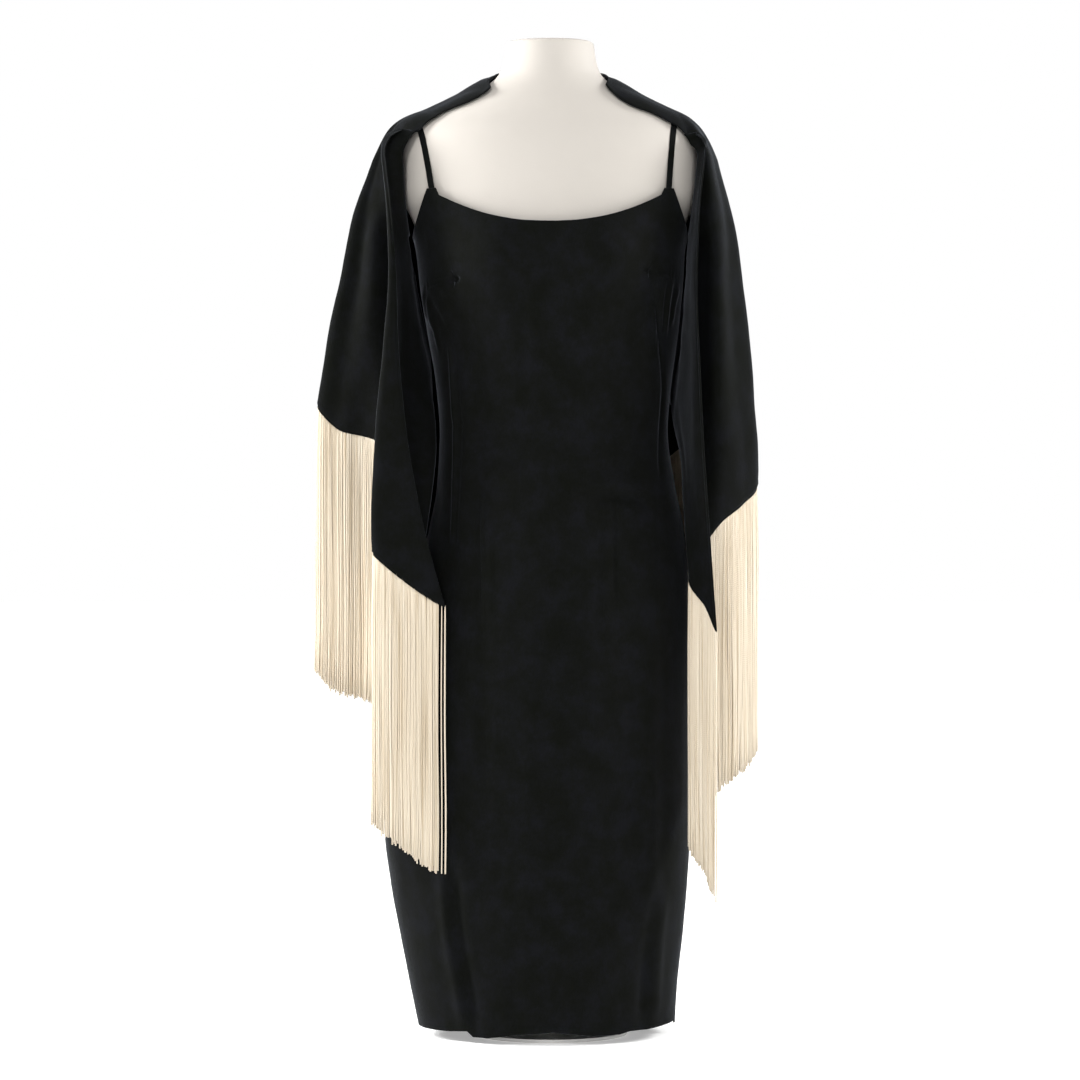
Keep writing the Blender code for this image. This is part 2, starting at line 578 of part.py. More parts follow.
def fringe_object(name, edge, cotton):
    """A narrow strip just under the fringed edge, with the strands grown from its lower faces."""
    bm = bmesh.new()
    strips = []
    for (x, y, z), (dx, dy), steep in strip_stations(edge):
        size = math.hypot(dx, dy)
        nx, ny = dy / size * STRIP_THICK / 2, -dx / size * STRIP_THICK / 2
        top = z - STRIP_GAP * steep
        bottom = top - STRIP_HEIGHT
        corners = ((x + nx, y + ny, top), (x - nx, y - ny, top), (x - nx, y - ny, bottom), (x + nx, y + ny, bottom))
        strips.append([bm.verts.new(corner) for corner in corners])
    bm.faces.new(strips[0])
    bm.faces.new(strips[-1][::-1])
    for a, b in zip(strips, strips[1:]):
        for i, j in ((0, 1), (1, 2), (3, 0)):
            bm.faces.new((a[i], b[i], b[j], a[j]))
        root = [a[3], b[3], b[2], a[2]]
        corners = [v.co.copy() for v in root]
        middle = sum(corners, mathutils.Vector()) / 4
        tip = mathutils.Vector(clear_of_dress(middle.x, middle.y, middle.z - FRINGE_LENGTH + STRIP_HEIGHT, STRAND_CLEARANCE))
        neck = middle.lerp(tip, STRAND_NECK)
        for centre, width, slope in ((neck, STRAND_WIDTH, 1.0), (tip, STRAND_TIP_WIDTH, 0.0)):
            ring = []
            for corner in corners:
                out = corner - middle
                ring.append(bm.verts.new(centre + mathutils.Vector((out.x * width, out.y * width, out.z * slope))))
            for i in range(4):
                j = (i + 1) % 4
                bm.faces.new((root[i], ring[i], ring[j], root[j]))
            root = ring
        bm.faces.new(root)
    bmesh.ops.recalc_face_normals(bm, faces=bm.faces)
    mesh = bpy.data.meshes.new(name)
    bm.to_mesh(mesh)
    bm.free()
    return new_object(name, mesh, cotton)


def make_fringe(cotton):
    edge = shawl_rows()[-1]
    middle = sum(COLUMNS_BETWEEN)
    fringe_object("shawl_fringe_left", edge[: middle + 1], cotton)
    fringe_object("shawl_fringe_right", edge[middle:][::-1], cotton)


def main():
    clear_scene()
    bpy.context.scene.collection.children.link(bpy.data.collections.new("cocktail_dress_on_form"))
    crepe = solid_material("black_crepe", (0.012, 0.012, 0.014), 0.85)
    cotton = solid_material("ivory_fringe", (0.80, 0.68, 0.50), 0.6)
    covering = solid_material("cream_jersey", (0.72, 0.69, 0.63), 0.8)
    metal = solid_material("painted_steel", (0.72, 0.70, 0.66), 0.45)
    tape = solid_material("zip_tape", (0.015, 0.015, 0.017), 0.7)
    make_form(covering, metal)
    make_dress(crepe)
    make_straps(crepe)
    make_zip(tape)
    make_shawl(crepe)
    make_fringe(cotton)


main()
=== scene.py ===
"""The looks of the sheath cocktail dress, its fringed shawl and the dress form that wears them.

Metres, +Z up. The dress faces -Y, and +X is to the right of someone who looks at its front. Each cloth piece is a
thin shell on the surface of its solid, worked out on a finer grid from the same section tables, with its creases,
darts, seams and hems laid on as heights along the surface's normal.
"""

import math
import random

import bmesh
import bpy
import numpy as np
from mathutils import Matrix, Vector, noise


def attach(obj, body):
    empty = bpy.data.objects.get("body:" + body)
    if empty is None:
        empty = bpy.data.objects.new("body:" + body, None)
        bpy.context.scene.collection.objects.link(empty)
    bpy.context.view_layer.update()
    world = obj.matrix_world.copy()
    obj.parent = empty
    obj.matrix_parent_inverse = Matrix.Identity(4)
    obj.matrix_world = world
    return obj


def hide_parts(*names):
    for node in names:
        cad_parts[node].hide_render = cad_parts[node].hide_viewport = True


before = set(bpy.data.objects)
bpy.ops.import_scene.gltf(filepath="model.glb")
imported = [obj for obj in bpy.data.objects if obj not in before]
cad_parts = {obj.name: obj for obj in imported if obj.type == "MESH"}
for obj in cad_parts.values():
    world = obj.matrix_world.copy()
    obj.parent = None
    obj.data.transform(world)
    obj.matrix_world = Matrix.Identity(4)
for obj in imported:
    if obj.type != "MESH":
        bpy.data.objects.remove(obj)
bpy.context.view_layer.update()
RANDOM = random.Random(7)


def metres(rows):
    """Nested rows of millimetres in metres."""
    return tuple(metres(row) if isinstance(row, (tuple, list)) else row / 1000 for row in rows)


# ---- sizes of the outfit and the form

SEAM_GAP = 0.0006  # between two panels, and between a strap's end and the dress
HEM_HEIGHT = 0.012  # above the floor
ROUNDNESS = 2.2  # exponent of the superellipse sections: 2 is an ellipse

DRESS_COLUMNS = ("height", "left", "right", "front", "back")
DRESS = metres((
    (12, 153, 145.5, 112, 112),
    (55, 162, 148, 115, 116),
    (120, 174.6, 154.8, 119, 121),
    (178, 185.5, 159.5, 122, 125),
    (240, 192.5, 163, 124, 129),
    (320, 190.5, 162.5, 126, 134),
    (400, 181, 161.5, 127, 138),
    (470, 167, 161.2, 127, 139),
    (530, 153, 160.5, 124, 135),
    (590, 140, 155.2, 117, 122),
    (640, 130.5, 144.8, 108, 105),
    (700, 127.2, 137, 101, 93),
    (750, 131.5, 140.8, 102, 93),
    (815, 143, 149, 108, 96),
    (868, 151.3, 154.8, 114, 100),
    (910, 156, 157.5, 117, 102),
    (940, 165, 165.5, 113, 102),
    (980, 178.5, 178.5, 105, 101),
))
BUST_HEIGHT, BUST_SIDE, BUST_RISE = 0.893, 0.078, 0.012
BUST_SPREAD_X, BUST_SPREAD_Z = 0.046, 0.05

UNDERARM_TOP = 0.925
STRAP_TOP = 0.9765
STRAP_OUTER_ANGLE, STRAP_INNER_ANGLE = 38.6, 44.3
NECK_FRONT_MIDDLE = 0.9362
NECK_SCOOP_POWER = 2.5
BACK_STRAP_ANGLE, BACK_STRAP_TOP, BACK_MIDDLE_TOP = 46.0, 0.955, 0.93

FORM_COLUMNS = ("height", "side", "front", "back")
FORM = metres((
    (430, 132, 98, 110),
    (480, 141, 107, 124),
    (530, 139, 108, 122),
    (590, 130, 102, 108),
    (650, 120, 92, 88),
    (700, 117, 87, 80),
    (750, 121, 88, 81),
    (815, 132, 94, 86),
    (868, 142, 102, 91),
    (910, 149, 106, 94),
    (940, 158, 102, 95),
    (980, 173.5, 95, 94),
    (1020, 173.5, 87, 91),
    (1045, 166.5, 79, 86),
    (1065, 145, 71, 80),
    (1085, 107.5, 65, 74),
    (1100, 76, 61, 68),
    (1114, 60, 57, 62),
    (1132, 53.5, 53, 55),
    (1152, 51, 50, 51),
))

STRAP_WIDTH, STRAP_THICK = 0.0082, 0.0016
STRAP_CREST = {"left": 0.157, "right": 0.147}
STRAP_LIFT, STRAP_BELOW_CREST = STRAP_THICK, 1e-5
STRAP_END_SHARE = 0.35

SHAWL_COLUMNS = (
    "height", "edge_out", "edge_front", "fold_out", "fold_front", "valley_out", "valley_front", "side_out",
)  # fmt: skip
SHAWL_LEFT = metres((
    (490, 117, 114, 194, 112, 160, 72, 272),
    (600, 146, 108, 202.5, 106, 139, 64, 272),
    (700, 163.8, 102, 198.5, 96, 131, 14, 272),
    (800, 173, 96, 188, 87, 137, -30, 258),
    (880, 175.8, 90, 182, 80, 151, -20, 240.5),
    (950, 181.4, 84, 185.5, 73, 165.5, 34, 226),
    (1015, 189, 72, 192, 60, 169.5, 46, 204),
))
SHAWL_RIGHT = metres((
    (465, 189.6, 108, 180, 98, 167, 88, 236),
    (560, 182.8, 106, 171.5, 92, 157, 70, 237),
    (660, 175.9, 102, 164.5, 80, 152.5, 30, 240),
    (750, 171.6, 98, 161, 70, 140, -34, 234.5),
    (860, 167.3, 94, 160.5, 66, 150, -30, 222.5),
    (940, 170, 86, 165.5, 66, 162, 40, 211.5),
    (1015, 178, 72, 175, 64, 169.5, 50, 192),
))
SHAWL_SIDE_FRONT = -0.01
TURN_OUT_SHARE, BEND_OUT_SHARE = 0.52, 0.8
TURN_FRONT = {"left": 0.015, "right": 0.052}
BEND_FRONT = {"left": 0.004, "right": 0.03}
REAR_OUT_SHARE, REAR_BACK = 0.8, 0.088
BLADE_OUT_SHARE, BLADE_FORWARD = 0.53, 0.009
NAPE_OUT_SHARE, NAPE_FORWARD = 0.25, 0.002
MIDDLE_BACK_COLUMNS = ("height", "back")
MIDDLE_BACK = ((0.5, 0.152), (0.6, 0.137), (0.7, 0.117), (0.85, 0.11), (0.95, 0.111), (1.015, 0.108))
# The lines that carry the shawl, from each front edge round to the middle of the back. Over the shoulder each has
# three points (out, front, height), then the height of the fringed edge there, all in millimetres. On the left the
# valley's edge hangs 22 mm lower and the rear's 25 mm higher than the solid's, so that no strands show there.
LINES = ("edge", "fold", "valley", "turn", "bend", "side", "rear", "blade", "nape", "middle")
LINES_LEFT = {
    "edge": ((170, 45, 1045), (177, 52, 1041), (184, 60, 1034), 498),
    "fold": ((172, 40, 1048), (181, 43, 1044), (190, 48, 1036), 556),
    "valley": ((153, 47, 1045), (158, 50, 1041), (163, 52, 1034), 568),
    "turn": ((141.5, 46, 1054.5), (160, 32, 1057), (174, 24, 1048), 690),
    "bend": ((130, 46.5, 1061.5), (156, 18, 1066), (180, 9, 1052), 700.5),
    "side": ((118, 47, 1068), (150, 4, 1071.5), (183, -6, 1053), 728.5),
    "rear": ((88, 52, 1079.5), (112, -2, 1090), (146, -62, 1064), 690),
    "blade": ((67, 47, 1095), (77, -6, 1109), (98, -88, 1071), 567),
    "nape": ((54, -34, 1121), (52, -48, 1114), (50, -94, 1073), 553),
    "middle": ((0, -66, 1122), (0, -80, 1104), (0, -94, 1074), 560),
}
LINES_RIGHT = {
    "edge": ((168, 44, 1040), (171, 54, 1037), (175, 62, 1030), 469),
    "fold": ((169, 41, 1044), (174, 47, 1039), (178, 54, 1031), 497),
    "valley": ((154.5, 43, 1041), (158, 46, 1037), (161, 48, 1030), 532),
    "turn": ((145.5, 46, 1049.5), (159, 32, 1053), (170, 38, 1042), 595),
    "bend": ((132, 48, 1056.5), (153.5, 18, 1064), (173, 18, 1048), 614),
    "side": ((118, 50, 1063.5), (147, 4, 1071.5), (173.5, -6, 1052), 641),
    "rear": ((88, 56, 1074.5), (112, -2, 1089), (142, -62, 1064), 700),
    "blade": ((63, 46, 1098), (75, -6, 1109), (98, -88, 1071), 660),
    "nape": ((54, -34, 1121), (52, -48, 1114), (50, -94, 1073), 585),
    "middle": ((0, -66, 1122), (0, -80, 1104), (0, -94, 1074), 560),
}
SHOULDER_LEVEL = 1.015
SECOND_ROW_SHARE = 0.09  # the hanging row that guides the curve over the shoulder
HEIGHT_AXIS = 2
COLUMNS_BETWEEN = (6, 6, 3, 3, 3, 6, 4, 4, 3)  # of the solid's grid, from line to line
LINE_COLUMNS = COLUMNS_BETWEEN + COLUMNS_BETWEEN[::-1]
BACK_FOLD_WAVES, BACK_FOLD_DEPTH, BACK_FOLD_SPAN, BACK_FOLD_START, BACK_FOLD_END = 2.5, 0.01, 0.22, 0.06, 0.3
SHAWL_CLEARANCE = 0.0032
SHAWL_DRESS_CLEARANCE = 0.0048
SHOULDER_SLOPE_LEVEL, SHOULDER_SLOPE_FACTOR = 1.02, 1.7
OVER_STRAP_RISE, OVER_STRAP_SPREAD = 0.0014, 0.012

FRINGE_LENGTH = 0.305
STRAND_CLEARANCE = 0.0036

# ---- sizes of the looks

CREPE_THICK = 0.0011
CURVE_STEP = 0.0005  # the tables are sampled this finely

PANEL_ROWS = 176
FRONT_COLUMNS = (54, 6, 58)  # armhole, strap corner and neckline, on each half
BACK_COLUMNS = (36, 50)  # from the side seam to the strap, and on to the zip
SEAM_EDGE_ANGLES, SEAM_EDGE_STEP = (0.0, 0.25, 0.6, 1.1), 0.8  # degrees from the seam, and to the next column
SEAM_TURN, SEAM_TURN_WIDTH = 0.0011, 0.0014  # how far the panels' edges turn in at a seam
EDGE_ROUND = 0.0009
EDGE_LEVELS = (0.0006, 0.0013, 0.0025)  # extra rows by the hem and the top, as shares
BUST_LEVELS = (0.8498, 0.9142, 31)  # closer rows across the bust darts: from, to, how many
HEM_ALLOWANCE = 0.035

FORM_AROUND, FORM_ROWS = 128, 150
FORM_RIM, FORM_RIM_ROWS = 0.0035, 8

SHAWL_FINE = 3  # columns for each of the solid's
SHAWL_SHOULDER_ROWS = (8, 8, 8)
SHAWL_HANGING_ROWS, SHAWL_EDGE_SHARES = 128, (0.0015, 0.004, 0.0115)
SHAWL_HEM, SHAWL_HEM_RISE = 0.0055, 0.0008
HEM_START = 1.035  # the hem shows below this height

STRAND_PITCH, STRAND_RADIUS, STRAND_SIDES, STRAND_RINGS = 0.0022, 0.00098, 5, 9


# ---- curves and surfaces


def cubic(t, first, leaving, last, arriving):
    """The cubic from the first to the last value as t goes from 0 to 1, with its slopes at both ends."""
    return (
        (2 * t**3 - 3 * t**2 + 1) * first
        + (t**3 - 2 * t**2 + t) * leaving
        + (3 * t**2 - 2 * t**3) * last
        + (t**3 - t**2) * arriving
    )


def steady(before, after):
    """A slope between two others, with which a curve never overshoots."""
    return 2 * before * after / (before + after) if before * after > 0 else 0.0


def at_height(table, columns, name, height):
    """The named column's value at a height, on a smooth curve that never overshoots its rows."""
    column = columns.index(name)
    heights = [row[0] for row in table]
    values = [row[column] for row in table]
    if height <= heights[0]:
        return values[0]
    if height >= heights[-1]:
        return values[-1]
    i = max(k for k in range(len(heights) - 1) if heights[k] <= height)
    slopes = [(values[k + 1] - values[k]) / (heights[k + 1] - heights[k]) for k in range(len(heights) - 1)]
    slopes = [slopes[0], *(steady(*pair) for pair in zip(slopes, slopes[1:])), slopes[-1]]
    span = heights[i + 1] - heights[i]
    return cubic((height - heights[i]) / span, values[i], span * slopes[i], values[i + 1], span * slopes[i + 1])


SAMPLED = {}


def curve_at(table, columns, name, heights):
    """The named column's values at an array of heights."""
    key = (id(table), name)
    if key not in SAMPLED:
        samples = np.arange(table[0][0], table[-1][0] + CURVE_STEP, CURVE_STEP)
        SAMPLED[key] = samples, np.array([at_height(table, columns, name, z) for z in samples])
    return np.interp(heights, *SAMPLED[key])


def section(angles, reach, heights):
    """Points of superellipse sections. Angle 0 is the right side seam, -90 the middle of the front."""
    left, right, front, back = reach
    across, along = np.cos(np.radians(angles)), np.sin(np.radians(angles))
    x = np.sign(across) * abs(across) ** (2 / ROUNDNESS) * np.where(across > 0, right, left)
    y = np.sign(along) * abs(along) ** (2 / ROUNDNESS) * np.where(along > 0, back, front)
    return np.stack([x, y, heights], axis=-1)


def section_share(x, y, side, depth):
    """How far out a point lies, as a share of the superellipse with these half sizes."""
    return ((abs(x) / side) ** ROUNDNESS + (abs(y) / depth) ** ROUNDNESS) ** (1 / ROUNDNESS)


def dress_points(angles, heights):
    angles, heights = np.broadcast_arrays(angles, heights)
    reach = [curve_at(DRESS, DRESS_COLUMNS, name, heights) for name in DRESS_COLUMNS[1:]]
    points = section(angles, reach, heights)
    across = bell(abs(points[..., 0]) - BUST_SIDE, BUST_SPREAD_X)
    rise = BUST_RISE * across * bell(heights - BUST_HEIGHT, BUST_SPREAD_Z)
    points[..., 1] -= np.where(points[..., 1] < 0, rise, 0.0)
    return points


def form_reach(height):
    return [at_height(FORM, FORM_COLUMNS, name, height) for name in FORM_COLUMNS[1:]]


def front_top(angle):
    """Height of the front's top edge: armhole, strap corner, then the scooped neckline."""
    from_side = min(-angle, angle + 180)
    if from_side < STRAP_OUTER_ANGLE:
        return UNDERARM_TOP + (STRAP_TOP - UNDERARM_TOP) * (from_side / STRAP_OUTER_ANGLE) ** 2
    if from_side < STRAP_INNER_ANGLE + 0.01:
        return STRAP_TOP
    corner = dress_points(-STRAP_INNER_ANGLE, STRAP_TOP)[0]
    share = min(1.0, abs(dress_points(angle, NECK_FRONT_MIDDLE)[0]) / corner)
    return NECK_FRONT_MIDDLE + (STRAP_TOP - NECK_FRONT_MIDDLE) * share**NECK_SCOOP_POWER


def back_top(angle):
    """Height of the back's top edge, from the side seam up to the strap and down to the zip."""
    from_side = min(angle, 180 - angle)
    if from_side <= BACK_STRAP_ANGLE:
        share = from_side / BACK_STRAP_ANGLE
        return UNDERARM_TOP + (BACK_STRAP_TOP - UNDERARM_TOP) * share**1.5
    share = (90 - from_side) / (90 - BACK_STRAP_ANGLE)
    return BACK_MIDDLE_TOP + (BACK_STRAP_TOP - BACK_MIDDLE_TOP) * share**2


def through(knots, parts, level=False):
    """A smooth curve through the knots, with the given number of steps between each two.

    Where level is set, the curve's height never overshoots a knot's.
    """

    def tangent(i, axis):
        here = knots[i][axis]
        fall, rise = here - knots[max(i - 1, 0)][axis], knots[min(i + 1, len(knots) - 1)][axis] - here
        return steady(fall, rise) if level and axis == HEIGHT_AXIS else (fall + rise) / 2

    points = []
    for i, count in enumerate(parts):
        ends = [
            (knots[i][axis], tangent(i, axis), knots[i + 1][axis], tangent(i + 1, axis))
            for axis in range(len(knots[0]))
        ]
        points += [[cubic(k / count, *end) for end in ends] for k in range(count)]
    return points + [list(knots[-1])]


# ---- heights laid on a surface


def grid_normals(grid):
    down = np.gradient(grid, axis=0)
    along = np.gradient(grid, axis=1)
    normals = np.cross(along, down)
    return normals / np.maximum(np.linalg.norm(normals, axis=-1, keepdims=True), 1e-12)


SEED_SHIFT = np.array((7.31, 3.17, 5.71))  # how far each seed moves the noise


def rough(points, size, seed):
    """Smooth noise from about -1 to 1, with features of a size in metres along x, y and z."""
    places = points / np.array(size) + seed * SEED_SHIFT
    values = [noise.noise(Vector(place)) for place in places.reshape(-1, 3)]
    return np.array(values).reshape(points.shape[:-1])


def nearest_on_line(across, up, line):
    """Each grid point's distance from a line, and how far along the line its nearest place lies, as a share."""
    distance = np.full(across.shape, np.inf)
    place = np.zeros(across.shape)
    lengths = [math.dist(a, b) for a, b in zip(line, line[1:])]
    passed, total = 0.0, sum(lengths)
    for (ax, az), (bx, bz), length in zip(line, line[1:], lengths):
        t = np.clip(((across - ax) * (bx - ax) + (up - az) * (bz - az)) / length**2, 0, 1)
        here = np.hypot(across - ax - t * (bx - ax), up - az - t * (bz - az))
        place = np.where(here < distance, (passed + t * length) / total, place)
        distance = np.minimum(distance, here)
        passed += length
    return distance, place


def smooth_step(values):
    values = np.clip(values, 0, 1)
    return values * values * (3 - 2 * values)


def bell(distance, width):
    return np.exp(-((distance / width) ** 2))


def lengths_along(grid, axis):
    """Each point's distance from the grid's first row (axis 0) or column (axis 1), along the surface."""
    return np.cumsum(np.insert(np.linalg.norm(np.diff(grid, axis=axis), axis=-1), 0, 0, axis=axis), axis=axis)


def split_rows(creases):
    """Each crease's rise, width and fade, then the list of its points."""
    return [(*crease[:3], crease[3:]) for crease in creases]


def crease_heights(across, up, creases):
    """The height of every crease: a ridge where its rise is positive, a trough where it is negative.

    A crease is its rise, its width, the share of its length over which it fades at each end, and its points.
    """
    heights = np.zeros(across.shape)
    for rise, width, fade, points in creases:
        line = through(points, [6] * (len(points) - 1))
        distance, place = nearest_on_line(across, up, line)
        heights += rise * smooth_step(np.minimum(place, 1 - place) / fade) * bell(distance, width)
    return heights


# ---- meshes


def mesh_object(name, points, faces, material, uv=(), layer="cloth"):
    """A smooth mesh. The texture map is given for the corners of its first faces; the others have none."""
    mesh = bpy.data.meshes.new(name)
    mesh.from_pydata(np.reshape(points, (-1, 3)).tolist(), [], faces)
    if len(uv):
        places = np.zeros((len(mesh.loops), 2))
        places[: len(uv)] = uv
        mesh.uv_layers.new(name=layer).data.foreach_set("uv", places.reshape(-1))
    mesh.shade_smooth()
    mesh.materials.append(material)
    obj = bpy.data.objects.new(name, mesh)
    bpy.context.scene.collection.objects.link(obj)
    return obj


def tube_object(name, points, rings, sides, material):
    """A closed tube: rings of points, with a cap on each end."""
    obj = mesh_object(name, points, grid_faces(rings, sides, closed=True).tolist(), material)
    bm = bmesh.new()
    bm.from_mesh(obj.data)
    bm.verts.ensure_lookup_table()
    last = (rings - 1) * sides
    bm.faces.new([bm.verts[k] for k in reversed(range(sides))])
    bm.faces.new([bm.verts[last + k] for k in range(sides)])
    bmesh.ops.recalc_face_normals(bm, faces=bm.faces)
    bm.to_mesh(obj.data)
    bm.free()
    obj.data.shade_smooth()
    return obj


def grid_faces(rows, columns, closed=False):
    index = np.arange(rows * columns).reshape(rows, columns)
    if closed:
        index = np.concatenate([index, index[:, :1]], axis=1)
    return np.stack([index[:-1, :-1], index[:-1, 1:], index[1:, 1:], index[1:, :-1]], axis=-1).reshape(-1, 4)


def cloth_object(name, grid, material, thick=CREPE_THICK, flip=False):
    """A thin shell whose outer side is the grid, with a texture map in metres along the threads."""
    rows, columns = grid.shape[:2]
    faces = grid_faces(rows, columns)
    if flip:
        faces = faces[:, ::-1]
    along = lengths_along(grid, 1).mean(axis=0)
    flat = np.stack(np.broadcast_arrays(along, grid[..., 2]), axis=-1).reshape(-1, 2)
    obj = mesh_object(name, grid, faces.tolist(), material, flat[faces.reshape(-1)])
    wall = obj.modifiers.new("wall", "SOLIDIFY")
    wall.thickness = thick
    wall.offset = -1
    return obj


# ---- materials


class Nodes:
    """The node tree of a material or of the room, with short calls for what is used below."""

    def __init__(self, owner, shader="Principled BSDF"):
        self.owner = owner
        self.owner.use_nodes = True
        self.tree = self.owner.node_tree
        self.shader = self.tree.nodes[shader]

    def add(self, kind, **settings):
        node = self.tree.nodes.new(kind)
        for key, value in settings.items():
            if hasattr(node, key):
                setattr(node, key, value)
            else:
                node.inputs[key.replace("_", " ").title()].default_value = value
        return node

    def link(self, source, target):
        self.tree.links.new(source, target)

    def coordinates(self, kind="Object", scale=(1, 1, 1)):
        mapping = self.add("ShaderNodeMapping", scale=scale)
        self.link(self.add("ShaderNodeTexCoord").outputs[kind], mapping.inputs["Vector"])
        return mapping.outputs["Vector"]

    def noise(self, vector, scale, detail=2.0, roughness=0.5):
        node = self.add("ShaderNodeTexNoise", scale=scale, detail=detail, roughness=roughness)
        self.link(vector, node.inputs["Vector"])
        return node.outputs["Fac"]

    def ramp(self, value, stops):
        node = self.add("ShaderNodeValToRGB")
        elements = node.color_ramp.elements
        while len(elements) < len(stops):
            elements.new(0.5)
        for element, (position, colour) in zip(elements, stops):
            element.position = position
            element.color = (*colour, 1)
        self.link(value, node.inputs["Fac"])
        return node.outputs["Color"]

    def math(self, operation, first, second):
        node = self.add("ShaderNodeMath", operation=operation)
        for socket, value in zip(node.inputs, (first, second)):
            if isinstance(value, (int, float)):
                socket.default_value = value
            else:
                self.link(value, socket)
        return node.outputs["Value"]

    def split(self, vector):
        node = self.add("ShaderNodeSeparateXYZ")
        self.link(vector, node.inputs["Vector"])
        return node.outputs

    def mapped(self, value, limits):
        """The value brought from the first two limits to the last two."""
        node = self.add("ShaderNodeMapRange")
        self.link(value, node.inputs["Value"])
        for socket, limit in zip(("From Min", "From Max", "To Min", "To Max"), limits):
            node.inputs[socket].default_value = limit
        return node.outputs["Result"]

    def bump(self, height, distance, strength, after=None):
        node = self.add("ShaderNodeBump", strength=strength, distance=distance)
        self.link(height, node.inputs["Height"])
        if after is not None:
            self.link(after, node.inputs["Normal"])
        return node.outputs["Normal"]

    def set(self, **values):
        """Sets the shader's inputs to values, or joins them to other nodes' sockets."""
        for name, value in values.items():
            socket = self.shader.inputs[name.replace("_", " ")]
            if isinstance(value, bpy.types.NodeSocket):
                self.link(value, socket)
            else:
                socket.default_value = value


def new_material(name):
    return Nodes(bpy.data.materials.new(name))


def crepe_material():
    """Matte black crepe: a pebbled grain of twisted threads over a faint mottle of warmer and cooler black."""
    nodes = new_material("black_crepe")
    where = nodes.coordinates()
    patches = nodes.noise(where, 34, 4, 0.65)
    threads = nodes.noise(nodes.coordinates("Object", (520, 520, 300)), 1, 3, 0.6)
    mottle = nodes.math("ADD", nodes.math("MULTIPLY", patches, 0.72), nodes.math("MULTIPLY", threads, 0.28))
    warm, middle, cool = (0.002, 0.0024, 0.0016), (0.0027, 0.0031, 0.0028), (0.0037, 0.0041, 0.0049)
    grain = nodes.noise(where, 1300, 2)
    slub = nodes.noise(nodes.coordinates("UV", (900, 260, 1)), 1, 2)
    relief = nodes.bump(grain, 0.0003, 0.7, nodes.bump(slub, 0.0003, 0.6))
    nodes.set(Base_Color=nodes.ramp(mottle, ((0.38, warm), (0.5, middle), (0.62, cool))), Normal=relief)
    nodes.set(Roughness=nodes.ramp(grain, ((0.3, (0.86,) * 3), (0.7, (1.0,) * 3))), Specular_IOR_Level=0.06)
    nodes.set(Sheen_Weight=0.11, Sheen_Roughness=0.28, Sheen_Tint=(0.8, 0.86, 1.0, 1))
    return nodes.owner


def fringe_material():
    """Ivory yarn with a soft sheen: each strand has a tone of its own, and a twist shows along it."""
    nodes = new_material("ivory_fringe")
    strand = nodes.noise(nodes.coordinates("Object", (420, 420, 5)), 1, 1)
    dark, middle, light = (0.42, 0.34, 0.235), (0.53, 0.455, 0.35), (0.6, 0.535, 0.435)
    twist = nodes.add("ShaderNodeTexWave", wave_type="BANDS", bands_direction="DIAGONAL", scale=1.0, distortion=0.6)
    nodes.link(nodes.coordinates("UV", (0.5, 260, 1)), twist.inputs["Vector"])
    relief = nodes.bump(twist.outputs["Fac"], 0.0004, 0.6)
    nodes.set(Base_Color=nodes.ramp(strand, ((0.25, dark), (0.45, middle), (0.75, light))), Normal=relief)
    nodes.set(Roughness=0.55, Specular_IOR_Level=0.3, Sheen_Weight=0.15, Sheen_Roughness=0.4)
    return nodes.owner


def two_tone_material(name, patches, stops, grain, relief, **values):
    """Patches of two tones, whose noise has a scale and a detail, under a relief of fine grain.

    The grain's noise has a scale along x, y and z and a detail, its relief a depth in metres and a strength.
    """
    nodes = new_material(name)
    colour = nodes.ramp(nodes.noise(nodes.coordinates(), *patches), stops)
    scale, detail = grain
    bumps = nodes.bump(nodes.noise(nodes.coordinates("Object", scale), 1, detail), *relief)
    nodes.set(Base_Color=colour, Normal=bumps, **values)
    return nodes.owner


CREPE = crepe_material()
FRINGE = fringe_material()
# smooth stretched jersey of the form, with fine wales
JERSEY = two_tone_material(
    "cream_jersey", (9, 3), ((0.3, (0.39, 0.364, 0.332)), (0.7, (0.416, 0.389, 0.356))),
    ((1100, 1100, 700), 2), (0.0002, 0.5), Roughness=0.72, Specular_IOR_Level=0.3, Sheen_Weight=0.1,
)  # fmt: skip
# satin paint with the faint orange peel of a powder coat
STEEL = two_tone_material(
    "painted_steel", (30, 2), ((0.3, (0.76, 0.75, 0.73)), (0.7, (0.8, 0.79, 0.77))),
    ((700, 700, 700), 1), (0.0002, 0.3), Roughness=0.4,
)  # fmt: skip
# black woven zip tape with fine ribs across it
TAPE = two_tone_material(
    "black_zip_tape", (300, 2), ((0.3, (0.006,) * 3), (0.7, (0.011,) * 3)),
    ((300, 300, 2200), 1), (0.0003, 0.6), Roughness=0.75, Specular_IOR_Level=0.3,
)  # fmt: skip
# black lacquered metal, worn a little brighter in patches
LACQUER = two_tone_material(
    "black_lacquer", (260, 3), ((0.35, (0.01,) * 3), (0.75, (0.028, 0.027, 0.025))),
    ((900, 900, 900), 1), (0.0001, 0.3), Roughness=0.35, Specular_IOR_Level=0.5,
)  # fmt: skip


# ---- dress form


